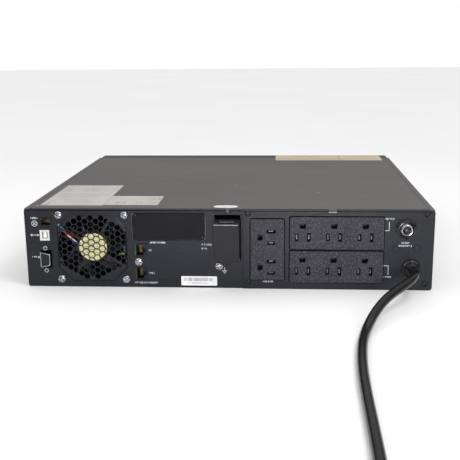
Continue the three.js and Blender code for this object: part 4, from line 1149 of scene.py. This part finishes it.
pressed = {"centres": ((179.4, 45.4), (202.0, 46.2)), "profile": ((4.2, 0.05), (3.8, -0.35), (3.4, 0.05)),
           "sides": 24}


# Points of a circle about centre, stretched by high
def roundOutline(centre, radius, count, high=1.0):
    return [(centre[0] + radius * math.cos(2 * math.pi * k / count),
             centre[1] + radius * math.sin(2 * math.pi * k / count) * high) for k in range(count)]


def makePrint():
    chance = random.Random(7)
    work = bmesh.new()
    for x, z, y in words:
        dashes(work, x, z, y, chance)
    for x, z, y in strokes:
        addBox(work, x, y, z)
    (cx, cz), radius, arm = remoteSign["centre"], remoteSign["radius"], remoteSign["arm"]
    addFrame(work, *(roundOutline((cx, cz), r, 28) for r in (radius, radius - remoteSign["wide"])), *onPanel)
    half = remoteSign["thick"] / 2 / math.sqrt(2)
    for up in (1, -1):  # two crossed bars
        addPlate(work, [(cx - arm - half, cz - up * (arm - half)), (cx + arm - half, cz + up * (arm + half)),
                        (cx + arm + half, cz + up * (arm - half)), (cx - arm + half, cz - up * (arm + half))],
                 *onPanel)
    addPlate(work, roundOutline((-211.9, 58), 1.15, 12), *onPanel)
    addPlate(work, [(-205.6, 56.7), (-203.4, 58.0), (-205.6, 59.3)], *onPanel)
    place(pieceFrom(work, "rearPrint", 30), ink)
    work = bmesh.new()  # pressed rings under the breaker
    for centre in pressed["centres"]:
        addTurned(work, pressed["profile"], centre, pressed["sides"])
    place(pieceFrom(work, "pressedRings", 40), finishes["black_paint"], "case", "black_paint")


# White label with stripes of uneven width
def makeRearLabel():
    work = bmesh.new()
    addPlate(work, roundedOutline((-49.6, -10.6), (2.5, 13.0), 1.0, 3), 1.4, 1.5)
    place(pieceFrom(work, "rearLabel", 30), whitePaper)
    chance = random.Random(5)
    work = bmesh.new()
    at = -46.8
    while at < -15.5:
        wide = chance.choice((0.35, 0.35, 0.6, 0.9))
        addBox(work, (at, at + wide), (1.34, 1.42), (7.4, 11.4))
        at += wide + chance.choice((0.35, 0.5, 0.8))
    dashes(work, (-42, -20), (4.6, 5.8), (1.34, 1.42), chance)
    place(pieceFrom(work, "rearLabelStripes", 30), labelInk)


labels = {
    "paper": (((-206.5, -136.7), (21, 140.5)), ((-136.4, -76.5), (23.8, 73.5))),  # x, y
    "rows": {"first": 27, "step": 5.9, "count": 19, "high": 2.0, "gapEvery": 6, "x": (-202, -141)},
    "oval": {"centre": (-1.3, 17.5), "half": (13, 6), "power": 0.7, "points": 36},
    "tape": ((50, 145.1), (145.7, 207)),
    "tapeReach": (347, 398),
    "tick": {"place": (-86, 34.5), "wide": 1.4, "high": 0.9, "step": 1.2, "rise": 1.6},
    "chips": ((3.2, 142.6), (102.1, 99.4), (-209.2, 19.8)),
    "below": 0.1,
    "paperThick": 0.03,
    "inkThick": 0.05,
}


def makeTopLabels():
    top = topZ / mm
    paper = (top - labels["below"], top + labels["paperThick"])
    inked = (top, top + labels["inkThick"])
    chance = random.Random(3)
    work = bmesh.new()
    for x, y in labels["paper"]:
        addPlate(work, roundedOutline(x, y, 0.8, 2), *paper, "z")
    place(pieceFrom(work, "topLabels", 30), labelPaper)
    work = bmesh.new()
    rows = labels["rows"]
    for row in range(rows["count"]):
        y = rows["first"] + rows["step"] * row
        if row % rows["gapEvery"] == rows["gapEvery"] - 1:
            continue
        end = rows["x"][1] - chance.choice((0, 0, 9, 22))
        dashes(work, (rows["x"][0], end), (y, y + rows["high"]), inked, chance, "z")
    for row in range(3):
        dashes(work, (-131 + 6 * row, -88 - 7 * row), (58 - 7 * row, 59.4 - 7 * row), inked, chance, "z")
    place(pieceFrom(work, "topLabelPrint", 30), labelInk)
    work = bmesh.new()
    dashes(work, (-126, -114), (35, 38.4), inked, chance, "z")
    dashes(work, (-104, -95.6), (36, 38), inked, chance, "z")
    tick = labels["tick"]
    for k in range(5):
        x, y = tick["place"][0] + tick["step"] * k, tick["place"][1] + tick["rise"] * abs(k - 1)
        right, far = x + tick["wide"], y + tick["high"]
        addPlate(work, [(x, y), (right, y), (right, far), (x, far)], *inked, "z")
    place(pieceFrom(work, "topLabelMarks", 30), darkInk)
    work = bmesh.new()
    (cx, cy), *shape = (labels["oval"][k] for k in ("centre", "half", "power", "points"))
    addPlate(work, [(cx + x, cy + y) for x, y in squareOutline(*shape)], *paper, "z")
    place(pieceFrom(work, "ovalSticker", 30), whitePaper)
    work = bmesh.new()
    dashes(work, (-9, 7), (16.4, 19), inked, chance, "z")
    place(pieceFrom(work, "ovalPrint", 30), labelInk)
    work = bmesh.new()
    for x in labels["tape"]:
        addPlate(work, roundedOutline(x, labels["tapeReach"], 0.6, 2), *paper, "z")
    place(pieceFrom(work, "tapeLabel", 30), tanPaper)
    work = bmesh.new()
    for spot in labels["chips"]:
        addPlate(work, roundOutline(spot, 0.8, 8, 1.6), top - 0.02, top + 0.05, "z")
    place(pieceFrom(work, "paintChips", 30), ink)


makePrint()
makeRearLabel()
makeTopLabels()
print("print and labels")


front = {
    "power": (-42, 53, 8),  # x, z, radius
    "test": (-174, 53, 5.5),
    "proud": 1.2,
    "window": ((-142, -74), (40, 66)),
    "lamps": (-60, -24),
    "vents": {"start": -203.3, "z": 12.25, "step": 4.6667, "count": 42},
}


# Work drawn with y = 0 on the bezel's face and y growing outwards
def frontPiece(work, name, finish, body="case", slot=None, stands=(), smooth=30):
    bmesh.ops.translate(work, verts=work.verts, vec=(0, frontY - rearY, 0))
    return place(pieceFrom(work, name, smooth), finish, body, slot, stands)


def makeFront():
    proud = front["proud"]
    glow = makeFinish("lamp lens", (70, 150, 84), (96, 176, 108), 0.2, 0.05, patches=300, grain=(600, 0.01),
                      coat=0.4)
    lcd = makeFinish("display segments", (120, 156, 168), (140, 176, 186), 0.3, 0.05, patches=300,
                     grain=(900, 0.005))
    for kind in ("power", "test"):
        (x, z, r), node = front[kind], kind + "_button"
        work = bmesh.new()
        addTurned(work, [(0, -8), (r, -8), (r, 0.1), (r - 0.25, 0.7), (r - 0.8, proud - 0.1), (r - 1.6, proud),
                         (0, proud - 0.25)], (x, z), 48)
        frontPiece(work, kind + "Button", finishes["gloss_black"], node, "gloss_black", [node], 40)
        work = bmesh.new()
        steps, inner = 26, r * 0.42
        for k in range(steps):
            a, b = (math.radians(118 + 304 * (k + j) / steps) for j in (0, 1))
            addPlate(work, [(x + q * math.cos(t), z + q * math.sin(t))
                            for t, q in ((a, inner), (b, inner), (b, inner - 0.55), (a, inner - 0.55))],
                     proud - 0.2, proud - 0.08)
        if kind == "power":
            addBox(work, (x - 0.3, x + 0.3), (proud - 0.2, proud - 0.08), (z + 0.6, z + 4.2))
        frontPiece(work, kind + "ButtonSign", ink, node)
    work = bmesh.new()
    (x0, x1), (z0, z1) = front["window"]
    level = (-0.62, -0.56)
    for k in range(5):  # rising bars, then a framed block
        addBox(work, (x0 + 8 + 5.5 * k, x0 + 12 + 5.5 * k), level, (z0 + 6, z0 + 9 + 2.2 * k))
    for a, b, c, d in ((x0 + 42, x1 - 8, 18, 18.7), (x0 + 42, x1 - 8, 6.5, 7.2), (x0 + 42, x0 + 42.7, 6.5, 18),
                       (x1 - 8.7, x1 - 8, 6.5, 18), (x0 + 44, x1 - 16, 8.5, 16.2)):
        addBox(work, (a, b), level, (z0 + c, z0 + d))
    frontPiece(work, "displaySegments", lcd)
    work = bmesh.new()
    for x in front["lamps"]:
        addTurned(work, [(0, -0.4), (1.5, -0.4), (1.5, 0.15), (1.1, 0.5), (0, 0.62)], (x, 68), 20)
    frontPiece(work, "lamps", glow, smooth=50)
    rib = boxTemplate((-0.5, 0.5), (-4.5, -1.4), (-2.1, 2.1))
    vent = front["vents"]
    repeated("ventRibs", rowTree, rib, finishes["bezel_plastic"],
             {"Count": vent["count"], "Step": (vent["step"] * mm, 0, 0)},
             origin=(vent["start"] * mm, frontY, vent["z"] * mm), slot="bezel_plastic")


inside = {
    "sticker": ((-30, 30), (-44, -12)),
    "stripes": 6,
    "stripeStep": 4,
    "labelDepth": 4.8,
    "tabApart": 0.03,  # metres from the battery's middle
    "boardEdge": (0.012, 0.14, 0.01),  # metres kept free at the sides, at the rear and at the front
}


# Battery terminals and labels, and small parts on the main board
def makeInside():
    places, labelPlaces = [], []
    for i in (1, 2, 3, 4):
        low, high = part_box(f"battery_{i}")
        cx, cy = (low[0] + high[0]) / 2, (low[1] + high[1]) / 2
        places += [(cx - inside["tabApart"], cy, high[2]), (cx + inside["tabApart"], cy, high[2])]
        labelPlaces.append((cx, cy, high[2] - inside["labelDepth"] * mm))
    rows = [(x, y - (20 + inside["stripeStep"] * k) * mm, z + 0.15 * mm)
            for x, y, z in labelPlaces for k in range(inside["stripes"])]
    for name, size, finish, spots in (
            ("batteryTabs", ((-2.6, 2.6), (-3.2, 3.2), (0, 0.5)), brass, places),
            ("batteryStickers", (*inside["sticker"], (0, 0.15)), labelPaper, labelPlaces),
            ("batteryPrint", ((-26, 26), (-0.6, 0.6), (0, 0.1)), darkInk, rows)):
        template = boxTemplate(*size)
        repeated(name, scatterTree, template, finish, {}, spots, body="battery_drawer")
    chance = random.Random(21)
    low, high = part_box("main_board")
    for name, size, finish, count in (
            ("boardChips", ((-4, 4), (-5, 5), (0, 2.2)), finishes["jack_plastic"], 16),
            ("boardResistors", ((-3.2, 3.2), (-1.1, 1.1), (0, 2.4)), tanPaper, 44),
            ("boardCaps", ((-2.6, 2.6), (-2.6, 2.6), (0, 9)), finishes["core_steel"], 14)):
        side, rear, ahead = inside["boardEdge"]
        spots = [(chance.uniform(low[0] + side, high[0] - side), chance.uniform(low[1] + rear, high[1] - ahead),
                  high[2]) for _ in range(count)]
        template = boxTemplate(*size)
        repeated(name, scatterTree, template, finish, {}, spots)


makeFront()
makeInside()
print("front and inside")


def makeFloor():
    work = bmesh.new()
    bmesh.ops.create_grid(work, x_segments=1, y_segments=1, size=6)
    floor = pieceFrom(work, "floor")
    floor.data.materials.append(makeFinish("pale floor", (246, 246, 246), (249, 249, 249), 0.7, 0.05, patches=2,
            grain=(60, 0.01)))
    scene.collection.objects.link(floor)


makeFloor()
